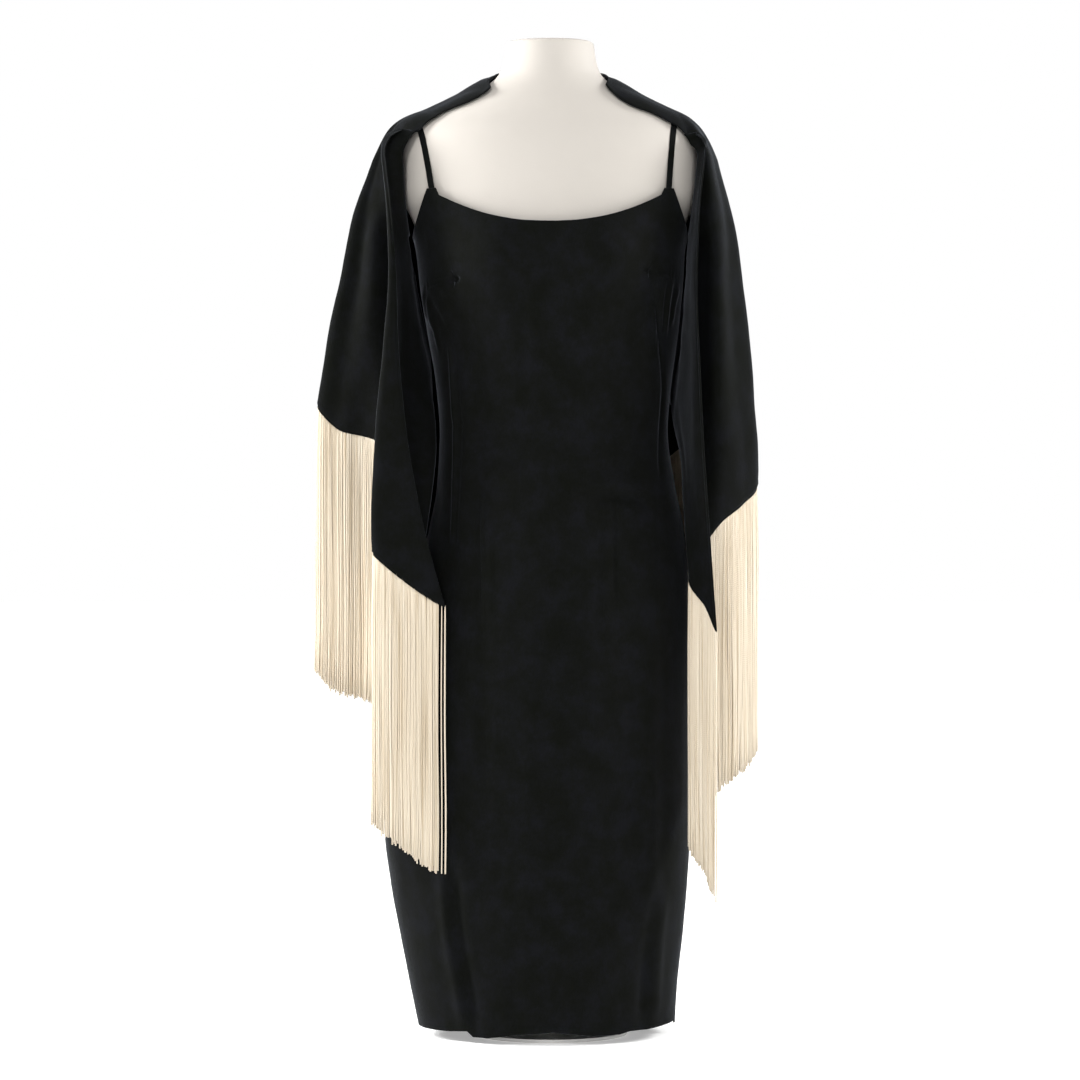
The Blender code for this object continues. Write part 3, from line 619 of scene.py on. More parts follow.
def make_form():
    """The torso, smooth from its hidden lower end to the round rim of its neck."""
    low, high = FORM[0][0], FORM[-1][0]
    turn = np.radians(np.linspace(0, 90, FORM_RIM_ROWS))
    rim, drop = FORM_RIM * (1 - np.cos(turn)), FORM_RIM * (1 - np.sin(turn))
    rows = np.linspace(low, high, FORM_ROWS)[3:-3]
    heights = np.concatenate([low + drop[::-1], rows, high - drop])[:, None]
    inset = np.concatenate([rim[::-1], 0 * rows, rim])[:, None]
    side, front, back = [curve_at(FORM, FORM_COLUMNS, name, heights) - inset for name in FORM_COLUMNS[1:]]
    angles, heights = np.broadcast_arrays(np.arange(FORM_AROUND) * 360 / FORM_AROUND, heights)
    grid = section(angles, (side, side, front, back), heights)
    obj = tube_object("form_torso_covering", grid, len(grid), FORM_AROUND, JERSEY)
    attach(obj, "root")
    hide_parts("form_torso")


# ---- dress

# Creases, darts and folds on the front: rise, width and fade, then points (across, height) in millimetres
FRONT_CREASES = (
    # the left contour dart from the bust to the hip, with the fullness on either side of it
    (-0.0012, 0.003, 0.12, (-147, 865), (-122, 818), (-111, 785), (-105, 740), (-102, 690), (-106, 610), (-112, 539)),
    (0.0024, 0.002, 0.15, (-122.2, 813), (-114.2, 785), (-108.5, 711), (-107.4, 676), (-110.8, 589), (-112, 545)),
    # small gathers below the armholes
    (0.0026, 0.0022, 0.3, (-147.5, 868), (-145, 845), (-140, 822)),
    (0.0022, 0.0022, 0.3, (-142, 860), (-139.5, 838), (-134.5, 812)),
    (0.0017, 0.0022, 0.3, (-137.5, 845), (-133, 815), (-127, 785)),
    (0.0024, 0.0022, 0.3, (150, 872), (143, 845), (139, 815)),
    (0.0024, 0.0022, 0.3, (143, 880), (136, 850), (132, 800)),
    (0.002, 0.0022, 0.3, (134, 882), (128, 850), (125, 790)),
    (0.0017, 0.0022, 0.3, (126, 878), (121, 845), (118, 790)),
    (0.003, 0.011, 0.25, (-128, 800), (-119, 740), (-117, 680), (-124, 600)),
    (0.0019, 0.009, 0.25, (-100, 780), (-95, 720), (-97, 640), (-104, 560)),
    # the right contour dart
    (-0.0026, 0.0022, 0.15, (117, 871), (126, 803), (131, 750), (128, 690), (126, 640)),
    (0.0023, 0.01, 0.3, (106, 850), (114, 790), (118, 720)),
    # bust darts and the dimple at the left one's point
    (-0.0015, 0.0018, 0.3, (-152, 864), (-128, 868), (-104, 871)),
    (-0.0056, 0.0046, 0.45, (-116, 866), (-109, 870), (-103, 876)),
    (0.0022, 0.005, 0.4, (-128, 856), (-116, 858), (-104, 862)),
    (-0.0015, 0.0018, 0.3, (153, 875), (128, 879), (94, 881)),
    (-0.0034, 0.0055, 0.45, (100, 882), (112, 880), (124, 880)),
    # waist darts below the waist
    (-0.0012, 0.003, 0.25, (-83, 640), (-81, 560), (-80, 483)),
    (0.002, 0.0022, 0.2, (-76.6, 632), (-77, 560), (-76, 470)),
    (0.0017, 0.006, 0.25, (-71, 610), (-70, 540), (-71, 470)),
    (0.0015, 0.006, 0.25, (64, 600), (65, 530), (64, 455)),
    (-0.002, 0.0022, 0.25, (74, 640), (73, 560), (74, 490)),
    # drag lines at the waist
    (-0.005, 0.0048, 0.3, (37, 617), (69, 623), (95, 620), (124, 616)),
    (0.0023, 0.008, 0.3, (30, 632), (65, 639), (105, 634), (130, 630)),
    (-0.0017, 0.007, 0.35, (-90, 655), (-50, 664), (-12, 660)),
    (0.0015, 0.009, 0.35, (-86, 642), (-46, 650), (-10, 645)),
    (-0.0013, 0.006, 0.35, (-128, 700), (-105, 706), (-80, 700)),
    # long soft folds of the skirt
    (-0.0025, 0.01, 0.25, (-83, 590), (-80, 483), (-76, 370), (-75, 257)),
    (0.0027, 0.012, 0.2, (112, 596), (114, 392), (114, 209), (112, 30)),
    (-0.0023, 0.012, 0.25, (88, 520), (90, 380), (92, 230)),
    (0.0042, 0.008, 0.25, (-124, 232), (-118, 141), (-106, 65), (-96, 0)),
    (-0.0049, 0.007, 0.25, (-112, 218), (-106, 141), (-93, 65), (-82, 0)),
    (0.0034, 0.008, 0.25, (131, 190), (121, 83), (118, 0)),
    (-0.0038, 0.007, 0.25, (119, 185), (108, 83), (104, 0)),
    (-0.0015, 0.016, 0.3, (10, 560), (16, 330), (12, 130)),
    (0.0015, 0.018, 0.3, (-32, 520), (-28, 300), (-34, 60)),
)
# How far the front's hem hangs below or above its level, by place across
FRONT_HEM_REACH = 0.045  # the height over which the lift dies away
FRONT_HEM = (
    (-0.153, -0.001), (-0.114, 0.0), (-0.095, 0.002), (-0.088, -0.0045), (-0.072, -0.005), (-0.042, -0.001),
    (0.003, 0.0028), (0.049, -0.002), (0.079, -0.0012), (0.091, 0.002), (0.111, 0.0022), (0.146, 0.006),
)  # fmt: skip

# Creases of the backs, in the same way, from the middle seam outwards
BACK_CREASES = (
    (-0.0014, 0.0022, 0.15, (68, 800), (62, 700), (60, 640), (66, 540), (72, 450)),
    (0.0018, 0.01, 0.25, (80, 780), (75, 690), (78, 600)),
    (0.0014, 0.009, 0.25, (50, 780), (47, 690), (50, 600)),
    (-0.0027, 0.008, 0.3, (6, 668), (40, 660), (86, 668), (118, 676)),
    (0.0024, 0.009, 0.3, (8, 648), (46, 640), (90, 648)),
    (-0.0018, 0.007, 0.3, (12, 622), (50, 618), (82, 624)),
    (-0.0018, 0.012, 0.25, (70, 430), (78, 300), (80, 150), (78, 12)),
    (0.0024, 0.013, 0.25, (46, 380), (48, 240), (46, 90), (44, 12)),
    (-0.0021, 0.011, 0.3, (112, 360), (116, 210), (110, 60), (106, 12)),
    (0.0027, 0.012, 0.3, (132, 300), (130, 160), (122, 20)),
)


# Each back's creases lie at its distance from the middle, stretched and shifted a little
BACK_PLACES = {"right": (1.04, -0.004), "left": (-0.97, 0.0)}

# Unevenness of the panels: its height, the size of its features along x, y and z, and its place among the seeds
PANEL_ROUGHNESS = (
    (0.0008, (0.075, 0.075, 0.11), 0),
    (0.00035, (0.026, 0.026, 0.034), 1),
    (0.0008, (0.016, 0.05, 0.2), 4),
    (0.00012, (0.009, 0.009, 0.012), 2),
)
HEM_LINE_RISE, HEM_LINE_WIDTH = 0.00022, 0.0022  # the hem's stitched upper edge, as it shows outside
HEM_LINE_SIZE, HEM_LINE_CHANGE, HEM_LINE_SEED = (0.02, 0.02, 0.02), 0.8, 3
SEAM_SETTLE = 0.01  # the creases die away this close to a seam
EDGE_FULLNESS = 0.98  # keeps the rounded edge short of a quarter circle


def panel_levels():
    """The panel's rows as shares of its height, closer together at the hem, the top and the bust darts."""
    middle = np.linspace(0, 1, PANEL_ROWS - 2 * len(EDGE_LEVELS))
    middle = middle[(middle < BUST_LEVELS[0]) | (middle > BUST_LEVELS[1])]
    ends = np.array(EDGE_LEVELS)
    return np.unique(np.concatenate([middle, ends, 1 - ends, np.linspace(*BUST_LEVELS)]))


def panel_grid(angles, top, creases, stretch, shift, seed):
    """A panel's outer surface with its creases, its turned seams and its rounded edges."""
    tops = np.array([top(angle) for angle in angles])
    heights = HEM_HEIGHT + (tops - HEM_HEIGHT) * panel_levels()[:, None]
    grid = dress_points(np.array(angles), heights)
    for end, inner in ((0, 1), (-1, -2)):
        step = grid[:, inner, :2] - grid[:, end, :2]
        grid[:, end, :2] += step / np.linalg.norm(step, axis=-1, keepdims=True) * SEAM_GAP / 2
    up = grid[..., 2]
    creases = [(*sizes, metres(points)) for *sizes, points in split_rows(creases)]
    rise = crease_heights(grid[..., 0] * stretch + shift, up, creases)
    for height, size, place in PANEL_ROUGHNESS:
        rise += height * rough(grid, size, seed + place)
    uneven = 1 + HEM_LINE_CHANGE * rough(grid, HEM_LINE_SIZE, seed + HEM_LINE_SEED)
    rise += HEM_LINE_RISE * bell(up - HEM_HEIGHT - HEM_ALLOWANCE, HEM_LINE_WIDTH) * uneven
    from_first = lengths_along(grid, 1)
    from_seam = np.minimum(from_first, from_first[:, -1:] - from_first)
    rise *= 1 - bell(from_seam, SEAM_SETTLE)
    rise -= SEAM_TURN * bell(from_seam, SEAM_TURN_WIDTH)
    inside = np.clip(EDGE_ROUND - np.minimum(tops - up, up - HEM_HEIGHT), 0, EDGE_ROUND)
    rise -= EDGE_ROUND - np.sqrt(EDGE_ROUND**2 - inside**2 * EDGE_FULLNESS)
    return grid + grid_normals(grid) * rise[..., None]


def spread(start, stop, count):
    return [start + (stop - start) * k / count for k in range(count)]


def make_dress():
    """The front, from the left side seam to the right, and the two backs that meet at the zip."""
    first = SEAM_EDGE_ANGLES[-1] + SEAM_EDGE_STEP
    armhole, corner, neck = FRONT_COLUMNS
    half = [*SEAM_EDGE_ANGLES, *spread(first, STRAP_OUTER_ANGLE, armhole)]
    half += spread(STRAP_OUTER_ANGLE, STRAP_INNER_ANGLE, corner) + spread(STRAP_INNER_ANGLE, 90, neck)
    angles = [-180 + angle for angle in half] + [-90] + [-angle for angle in reversed(half)]
    front = panel_grid(angles, front_top, FRONT_CREASES, 1, 0, 1)
    near_hem = np.exp(-(front[..., 2] - HEM_HEIGHT) / FRONT_HEM_REACH)
    front[..., 2] += np.interp(front[..., 0], *zip(*FRONT_HEM)) * near_hem
    front = cloth_object("dress_front_crepe", front, CREPE)
    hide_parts("dress_front")

    to_strap, to_zip = BACK_COLUMNS
    half = [*SEAM_EDGE_ANGLES, *spread(first, BACK_STRAP_ANGLE, to_strap)]
    half += spread(BACK_STRAP_ANGLE, 90 - first, to_zip) + [90 - angle for angle in reversed(SEAM_EDGE_ANGLES)]
    pieces = [front]
    for side, angles, seed in (("right", half, 11), ("left", [180 - angle for angle in reversed(half)], 21)):
        back = panel_grid(angles, back_top, BACK_CREASES, *BACK_PLACES[side], seed)
        back = cloth_object(f"dress_back_{side}_crepe", back, CREPE)
        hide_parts(f"dress_back_{side}")
        pieces.append(back)
    for piece in pieces:
        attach(piece, "root")
    return pieces


# Seam allowances, pressed open inside the skirt's three seams: angle of the seam, half width in degrees
ALLOWANCES = (("left", 180.0, 3.6), ("right", 0.0, 3.6), ("middle", 90.0, 4.6))
ALLOWANCE_TOP, ALLOWANCE_ROWS, ALLOWANCE_COLUMNS = 0.44, 60, 9
ALLOWANCE_THICK, ALLOWANCE_INSIDE, ALLOWANCE_ABOVE_HEM = 0.0007, 0.0008, 0.003


def make_allowances():
    """Narrow strips behind the seams, from the hem up to the dress form's lower end."""
    heights = np.linspace(HEM_HEIGHT + ALLOWANCE_ABOVE_HEM, ALLOWANCE_TOP, ALLOWANCE_ROWS)[:, None]
    for name, seam, half in ALLOWANCES:
        grid = dress_points(seam + np.linspace(-half, half, ALLOWANCE_COLUMNS), heights)
        reach = np.linalg.norm(grid[..., :2], axis=-1, keepdims=True)
        grid[..., :2] *= 1 - (CREPE_THICK + SEAM_TURN + ALLOWANCE_INSIDE) / reach
        strip = cloth_object(f"seam_allowance_{name}", grid, CREPE, ALLOWANCE_THICK)
        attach(strip, "root")


# ---- straps

STRAP_STEPS = 40
STRAP_SIDES = 12
STRAP_TUCK = (0.0022, 0.0075)  # how far in and down the ends go behind the dress's top edge
STRAP_SQUARENESS = 0.75  # 1 is an ellipse across the strap, less is squarer
STRAP_UNEVENNESS, STRAP_UNEVEN_STEP = 0.05, 0.35  # of the width, and from ring to ring


def shoulder_top(x):
    """Height at which the form is only as wide as x: the crest of the shoulder there."""
    low, high = SHOULDER_SLOPE_LEVEL, FORM[-1][0]
    for _ in range(40):  # halvings
        middle = (low + high) / 2
        if at_height(FORM, FORM_COLUMNS, "side", middle) > x:
            low = middle
        else:
            high = middle
    return low


def outline(reach, x, on_back):
    """The front or back of a superellipse section at x. The reach is its side, front and back."""
    side, front, back = reach
    share = max(0.0, 1 - (abs(x) / side) ** ROUNDNESS) ** (1 / ROUNDNESS)
    return back * share if on_back else -front * share


def strap_line(foot, crest_x, tail):
    """Points from the front corner over the shoulder to the back, each lifted off the form."""
    crest_z = shoulder_top(crest_x)
    points = []
    for k in range(-STRAP_STEPS, STRAP_STEPS + 1):
        share = 1 - abs(k) / STRAP_STEPS
        end_x, end_z = foot if k < 0 else tail
        x = end_x + (crest_x - end_x) * share
        z = end_z + (crest_z - end_z) * math.sin(share * math.pi / 2)
        z = min(z, shoulder_top(x) - STRAP_BELOW_CREST)
        on_form = outline(form_reach(z), x, k > 0)
        reach = [at_height(DRESS, DRESS_COLUMNS, name, z) for name in ("right", "front", "back")]
        on_dress = outline(reach, x, k > 0)
        near_end = max(0.0, 1 - share / STRAP_END_SHARE) ** 2
        points.append((x, on_form, z, on_dress, near_end))
    lifted = []
    for k, (x, on_form, z, on_dress, near_end) in enumerate(points):
        before, after = points[max(k - 3, 0)], points[min(k + 3, 2 * STRAP_STEPS)]
        dy, dz = after[1] - before[1], after[2] - before[2]
        size = math.hypot(dy, dz)
        y = on_form - dz / size * STRAP_LIFT
        lifted.append((x, y + (on_dress - y) * near_end, z + dy / size * STRAP_LIFT * (1 - near_end)))
    return lifted


def rounded(share):
    return math.copysign(abs(share) ** STRAP_SQUARENESS, share)


def make_straps():
    """Flat rouleaux, each a soft rounded tube whose ends go in behind the dress's top edge."""
    foot_x = abs(dress_points(-(STRAP_OUTER_ANGLE + STRAP_INNER_ANGLE) / 2, STRAP_TOP)[0])
    tail_x = abs(dress_points(BACK_STRAP_ANGLE, BACK_STRAP_TOP)[0])
    inward, down = STRAP_TUCK
    pieces = []
    for name, side in (("left", -1), ("right", 1)):
        edges = []
        for shift in (-STRAP_WIDTH / 2, STRAP_WIDTH / 2):
            foot = (foot_x + shift, STRAP_TOP + SEAM_GAP)
            tail = (tail_x + shift, BACK_STRAP_TOP + SEAM_GAP)
            line = np.array(strap_line(foot, STRAP_CREST[name] + shift, tail)) * (side, 1, 1)
            edges.append(np.array([line[0] + (0, inward, -down), *line, line[-1] + (0, -inward, -down)]))
        middle = (edges[0] + edges[1]) / 2
        across = edges[1] - edges[0]
        across /= np.linalg.norm(across, axis=1, keepdims=True)
        outward = np.cross(np.gradient(middle, axis=0), across) * -side
        outward /= np.linalg.norm(outward, axis=1, keepdims=True)
        middle = middle - outward * STRAP_THICK / 2
        rings = []
        for k, centre in enumerate(middle):
            uneven = noise.noise(Vector((k * STRAP_UNEVEN_STEP, side * 3.0, 0)))
            half = STRAP_WIDTH / 2 * (1 + STRAP_UNEVENNESS * uneven)
            for angle in (2 * math.pi * i / STRAP_SIDES for i in range(STRAP_SIDES)):
                u, v = rounded(math.cos(angle)) * half, rounded(math.sin(angle)) * STRAP_THICK / 2
                rings.append(centre + across[k] * u + outward[k] * v)
        obj = tube_object(f"strap_{name}_rouleau", rings, len(middle), STRAP_SIDES, CREPE)
        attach(obj, "root")
        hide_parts(f"strap_{name}")
        pieces.append(obj)
    return pieces


# ---- zip

ZIP_HALF_WIDTH, ZIP_THICK, ZIP_INSIDE, ZIP_FOOT, ZIP_BELOW_TOP = 0.011, 0.0006, 0.0021, 0.56, 0.002
ZIP_ROWS, ZIP_COLUMNS = 60, 9
ZIP_SLOPE_ANGLE = 84.0  # the back's slope beside the seam is taken from here
PULL_TOP, PULL_OUTSIDE, PULL_SIDES = 0.9235, 0.0016, 10
PULL = (  # the slider's drop-shaped pull: how far down, half width, half thickness
    (0.0, 0.0006, 0.0004), (0.001, 0.0013, 0.0007), (0.004, 0.0011, 0.0006), (0.008, 0.0021, 0.0007),
    (0.012, 0.0029, 0.0008), (0.0145, 0.0026, 0.0007), (0.0162, 0.0014, 0.0005), (0.0166, 0.0005, 0.0003),
)  # fmt: skip
TOOTH_PITCH, TOOTH_LENGTH, TOOTH_THICK = 0.0022, 0.0042, 0.0009
TOOTH_SHARE, TOOTH_SLANT, TOOTH_INSIDE = 0.32, 0.0003, 0.0014  # half height in pitches, rise to one side, depth


def make_zip():
    """The concealed zip: its tape and coil inside the middle back seam, and its pull outside."""
    heights = np.linspace(ZIP_FOOT, BACK_MIDDLE_TOP - ZIP_BELOW_TOP, ZIP_ROWS)
    seam = dress_points(90.0, heights)[:, 1]
    beside = dress_points(ZIP_SLOPE_ANGLE, heights)
    slope = (seam - beside[:, 1]) / abs(beside[:, 0])
    across = np.linspace(-1, 1, ZIP_COLUMNS) * ZIP_HALF_WIDTH
    y = (seam - ZIP_INSIDE)[:, None] - abs(across) * slope[:, None]
    grid = np.stack(np.broadcast_arrays(across, y, heights[:, None]), axis=-1)
    tape = cloth_object("back_zip_tape", grid, TAPE, ZIP_THICK, flip=True)
    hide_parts("back_zip")

    corners, faces = [], []
    for k in range(1, int((heights[-1] - heights[0]) / TOOTH_PITCH)):
        z = heights[0] + k * TOOTH_PITCH
        y = np.interp(z, heights, seam) - ZIP_INSIDE - TOOTH_INSIDE
        for face in ((3, 2, 1, 0), (4, 5, 6, 7), (0, 1, 5, 4), (1, 2, 6, 5), (2, 3, 7, 6), (3, 0, 4, 7)):
            faces.append([len(corners) + i for i in face])
        corners += [
            (sx * TOOTH_LENGTH / 2, y + sy * TOOTH_THICK / 2, z + sz * TOOTH_PITCH * TOOTH_SHARE + sx * TOOTH_SLANT)
            for sz in (-1, 1)
            for sx, sy in ((-1, -1), (1, -1), (1, 1), (-1, 1))
        ]
    teeth = mesh_object("back_zip_coil", corners, faces, TAPE)
    turns = 2 * np.pi * np.arange(PULL_SIDES) / PULL_SIDES
    rings = []
    for down, half, thick in PULL:
        z = PULL_TOP - down
        y = np.interp(z, heights, seam) + PULL_OUTSIDE
        rings.append(np.stack([np.cos(turns) * half, y + np.sin(turns) * thick, z + 0 * turns], axis=-1))
    pull = tube_object("back_zip_pull", rings, len(PULL), PULL_SIDES, LACQUER)
    for obj in (tape, teeth, pull):
        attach(obj, "root")


# ---- shawl


def shawl_line(line, side, height):
    """Out and front of one of the shawl's lines at a height below the shoulder."""
    name, table = ("left", SHAWL_LEFT) if side < 0 else ("right", SHAWL_RIGHT)
    if line == "middle":
        return 0.0, -at_height(MIDDLE_BACK, MIDDLE_BACK_COLUMNS, "back", height)
    side_out = at_height(table, SHAWL_COLUMNS, "side_out", height)
    if line == "side":
        return side_out, SHAWL_SIDE_FRONT
    if line in ("turn", "bend"):
        share, front = (TURN_OUT_SHARE, TURN_FRONT) if line == "turn" else (BEND_OUT_SHARE, BEND_FRONT)
        valley_out = at_height(table, SHAWL_COLUMNS, "valley_out", height)
        return valley_out + (side_out - valley_out) * share, front[name]
    if line == "rear":
        return side_out * REAR_OUT_SHARE, -REAR_BACK
    if line in ("blade", "nape"):
        share, forward = (BLADE_OUT_SHARE, BLADE_FORWARD) if line == "blade" else (NAPE_OUT_SHARE, NAPE_FORWARD)
        return side_out * share, shawl_line("middle", side, height)[1] + forward
    return tuple(at_height(table, SHAWL_COLUMNS, line + way, height) for way in ("_out", "_front"))


def clear_of_form(point):
    """Moves a point straight out from the upright until it is clear of the form and the straps on it."""
    x, y, z = point
    if z >= FORM[-1][0]:
        return point
    side, front, back = form_reach(z)
    depth = back if y > 0 else front
    reach = section_share(x, y, side, depth)
    clearance = SHAWL_CLEARANCE
    if z > SHOULDER_SLOPE_LEVEL:
        from_strap = abs(x) - STRAP_CREST["left" if x < 0 else "right"]
        clearance += OVER_STRAP_RISE * math.exp(-((from_strap / OVER_STRAP_SPREAD) ** 2))
        clearance *= SHOULDER_SLOPE_FACTOR
    least = 1 + clearance / math.hypot(x, y)
    return point if reach >= least else [x * least / reach, y * least / reach, z]


def hanging_shares():
    """Rows of the hanging cloth as shares of its drop, closer together at the fringed edge's hem."""
    return np.unique(np.concatenate([np.linspace(0, 1, SHAWL_HANGING_ROWS), 1 - np.array(SHAWL_EDGE_SHARES)]))


def hanging_point(line, side, fringed_edge, share):
    height = SHOULDER_LEVEL + (fringed_edge - SHOULDER_LEVEL) * share
    return (*shawl_line(line, side, height), height)


def shawl_grid():
    """The shawl's surface, in rows from the neck to the fringed edge and columns from its left end to its right."""
    shares = hanging_shares()
    over = sum(SHAWL_SHOULDER_ROWS)
    knots = [[] for _ in range(over + len(shares))]
    for side, lines, order in ((-1, LINES_LEFT, LINES), (1, LINES_RIGHT, LINES[-2::-1])):
        for line in order:
            *over_shoulder, fringed_edge = metres(lines[line])
            hanging = [hanging_point(line, side, fringed_edge, share) for share in shares]
            second = hanging_point(line, side, fringed_edge, SECOND_ROW_SHARE)
            above = through(over_shoulder + [hanging[0], second], (*SHAWL_SHOULDER_ROWS, 1))
            for row, point in zip(knots, above[:over] + hanging):
                row.append((side * point[0], -point[1], point[2]))
    rows = []
    for row_knots, share in zip(knots, [0.0] * over + shares.tolist()):
        row = through(row_knots, [count * SHAWL_FINE for count in LINE_COLUMNS], level=True)
        for point in row:
            if point[1] > BACK_FOLD_START:
                wave = math.cos(2 * math.pi * BACK_FOLD_WAVES * point[0] / BACK_FOLD_SPAN)
                point[1] += BACK_FOLD_DEPTH * share * (1 - wave) * (1 - abs(point[0]) / BACK_FOLD_END)
        rows.append([clear_of_form(point) for point in row])
    grid = np.array(rows)
    low = grid[..., 2] < UNDERARM_TOP
    for axis, clear in enumerate(clear_of_dress(grid, SHAWL_DRESS_CLEARANCE)):
        grid[..., axis] = np.where(low, clear, grid[..., axis])
    return grid


# Soft folds of the shawl: rise, width and fade, then points (place among its lines from the left edge, 0, to the
# right edge, 18; height in millimetres)
SHAWL_CREASES = (
    (0.0016, 0.01, 0.25, (3.6, 980), (4.0, 900), (4.2, 800)),
    (-0.0018, 0.01, 0.25, (4.6, 1000), (4.8, 900), (4.9, 780)),
    (0.0016, 0.011, 0.25, (5.3, 1010), (5.5, 900), (5.6, 760)),
    (-0.0022, 0.012, 0.25, (6.3, 1020), (6.5, 900), (6.6, 740)),
    (0.0022, 0.013, 0.25, (7.3, 1020), (7.5, 860), (7.6, 680)),
    (-0.0014, 0.01, 0.3, (1.3, 900), (1.4, 760), (1.4, 640)),
    (0.0012, 0.009, 0.3, (0.6, 860), (0.6, 740), (0.6, 640)),
    (0.0016, 0.011, 0.25, (12.6, 1010), (12.5, 900), (12.5, 740)),
    (-0.0016, 0.01, 0.25, (13.4, 1000), (13.3, 880), (13.2, 700)),
    (-0.0022, 0.012, 0.25, (11.6, 1020), (11.4, 900), (11.3, 760)),
    (0.002, 0.013, 0.25, (10.6, 1020), (10.4, 860), (10.2, 700)),
    (-0.001, 0.008, 0.3, (16.4, 900), (16.5, 760), (16.5, 600)),
)


# Unevenness of the shawl: its height, the size of its features along x, y and z, and its seed. The first two are on
# the hanging cloth alone.
SHAWL_ROUGHNESS = (
    (0.0012, (0.055, 0.055, 0.12), 31),
    (0.0005, (0.022, 0.022, 0.04), 32),
    (0.00015, (0.009, 0.009, 0.013), 33),
)
HANGING_START, HANGING_SPAN = 1.03, 0.08
EDGE_SETTLE, EDGE_LEFT = 0.02, 0.35  # the folds die away to a share this close to an edge
HEM_SLOPE, GROOVE_DEPTH, GROOVE_WIDTH = 0.0016, 0.0006, 0.0012
HEM_TURN_SPAN, SHAWL_THICK = 0.03, 0.0012


def make_shawl():
    grid = shawl_grid()
    up = grid[..., 2]
    columns = np.arange(grid.shape[1])
    place = np.interp(columns, np.cumsum((0,) + LINE_COLUMNS) * SHAWL_FINE, np.arange(len(LINE_COLUMNS) + 1))
    metres = lengths_along(grid[sum(SHAWL_SHOULDER_ROWS) + SHAWL_HANGING_ROWS // 2], 0)
    creases = []
    for *sizes, points in split_rows(SHAWL_CREASES):
        points = [(np.interp(np.interp(u, place, columns), columns, metres), z / 1000) for u, z in points]
        creases.append((*sizes, points))
    normals = -grid_normals(grid)
    rise = crease_heights(np.broadcast_to(metres, up.shape), up, creases)
    hanging = smooth_step((HANGING_START - up) / HANGING_SPAN)
    for (height, size, seed), where in zip(SHAWL_ROUGHNESS, (hanging, hanging, 1)):
        rise += height * where * rough(grid, size, seed)
    # narrow hems: the distance from the neck row and the two free ends, and from the fringed edge
    from_neck, from_left = lengths_along(grid, 0), lengths_along(grid, 1)
    from_end = np.minimum(from_left, from_left[:, -1:] - from_left)
    to_edge = np.minimum(np.minimum(from_neck, from_neck[-1:] - from_neck), from_end)
    rise *= EDGE_LEFT + (1 - EDGE_LEFT) * smooth_step(to_edge / EDGE_SETTLE)
    hem = SHAWL_HEM_RISE * smooth_step((SHAWL_HEM - to_edge) / HEM_SLOPE)
    groove = GROOVE_DEPTH * bell(to_edge - SHAWL_HEM, GROOVE_WIDTH)
    # the long edge's hem turns under over the shoulder
    rise += (hem - groove) * smooth_step((HEM_START - up) / HEM_TURN_SPAN)
    grid = grid + normals * rise[..., None]
    obj = cloth_object("shawl_crepe", grid, CREPE, SHAWL_THICK, flip=True)
    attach(obj, "root")
    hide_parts("shawl")
    return obj, grid, normals


# ---- fringe

FRINGE_LAYERS = ((0.0008, 0.0), (-0.0004, 0.5), (-0.0015, 0.25))  # outward shift in metres, shift along in pitches
ROOT_INSIDE = 0.0006
LOOSE_END = 0.0085  # by the shawl's points the strands hang singly
PITCH_CHANGE, SHIFT_CHANGE, LENGTH_CHANGE = 0.22, 0.0004, 0.0022  # in pitches, and in metres
RADIUS_SHARES = (0.86, 1.12)
ROOT_RISE, ROOT_SHARE, SPREAD_SHARE = 0.0012, 0.02, 0.06  # how far up the hem it starts, and its first two stretches
ROOT_PROFILE, TIP_PROFILE = (0.55, 0.85), 0.92  # of the radius
SWAY_TOGETHER, SWAY_ALONE = 0.0042, 0.0016  # at the tips, along the edge
DEPTH_TOGETHER, DEPTH_ALONE = 0.003, 0.001  # the same across it
# The noise behind these: features for each metre of the edge, for each strand's length, and a seed
SWAY_NOISE, DEPTH_NOISE, OWN_NOISE, OWN_SHIFT = (26, 1.6, 3.3), (21, 1.3, 6.6), (900, 2.5, 9.1), 0.37


def clear_of_dress(points, clearance):
    """The points' x and y, moved straight out from the upright until they are clear of the dress."""
    x, y, z = np.moveaxis(points, -1, 0)
    left, right, front, back = [curve_at(DRESS, DRESS_COLUMNS, name, z) for name in DRESS_COLUMNS[1:]]
    depth = np.where(y < 0, front, back)
    reach = section_share(x, y, np.where(x < 0, left, right), depth)
    scale = np.maximum(1.0, (1 + clearance / depth) / reach)
    return x * scale, y * scale


def strand_noise(kind, place, drop, shift=0.0):
    pace, fall, seed = kind
    return noise.noise(Vector((place * pace + shift, drop * fall, seed)))


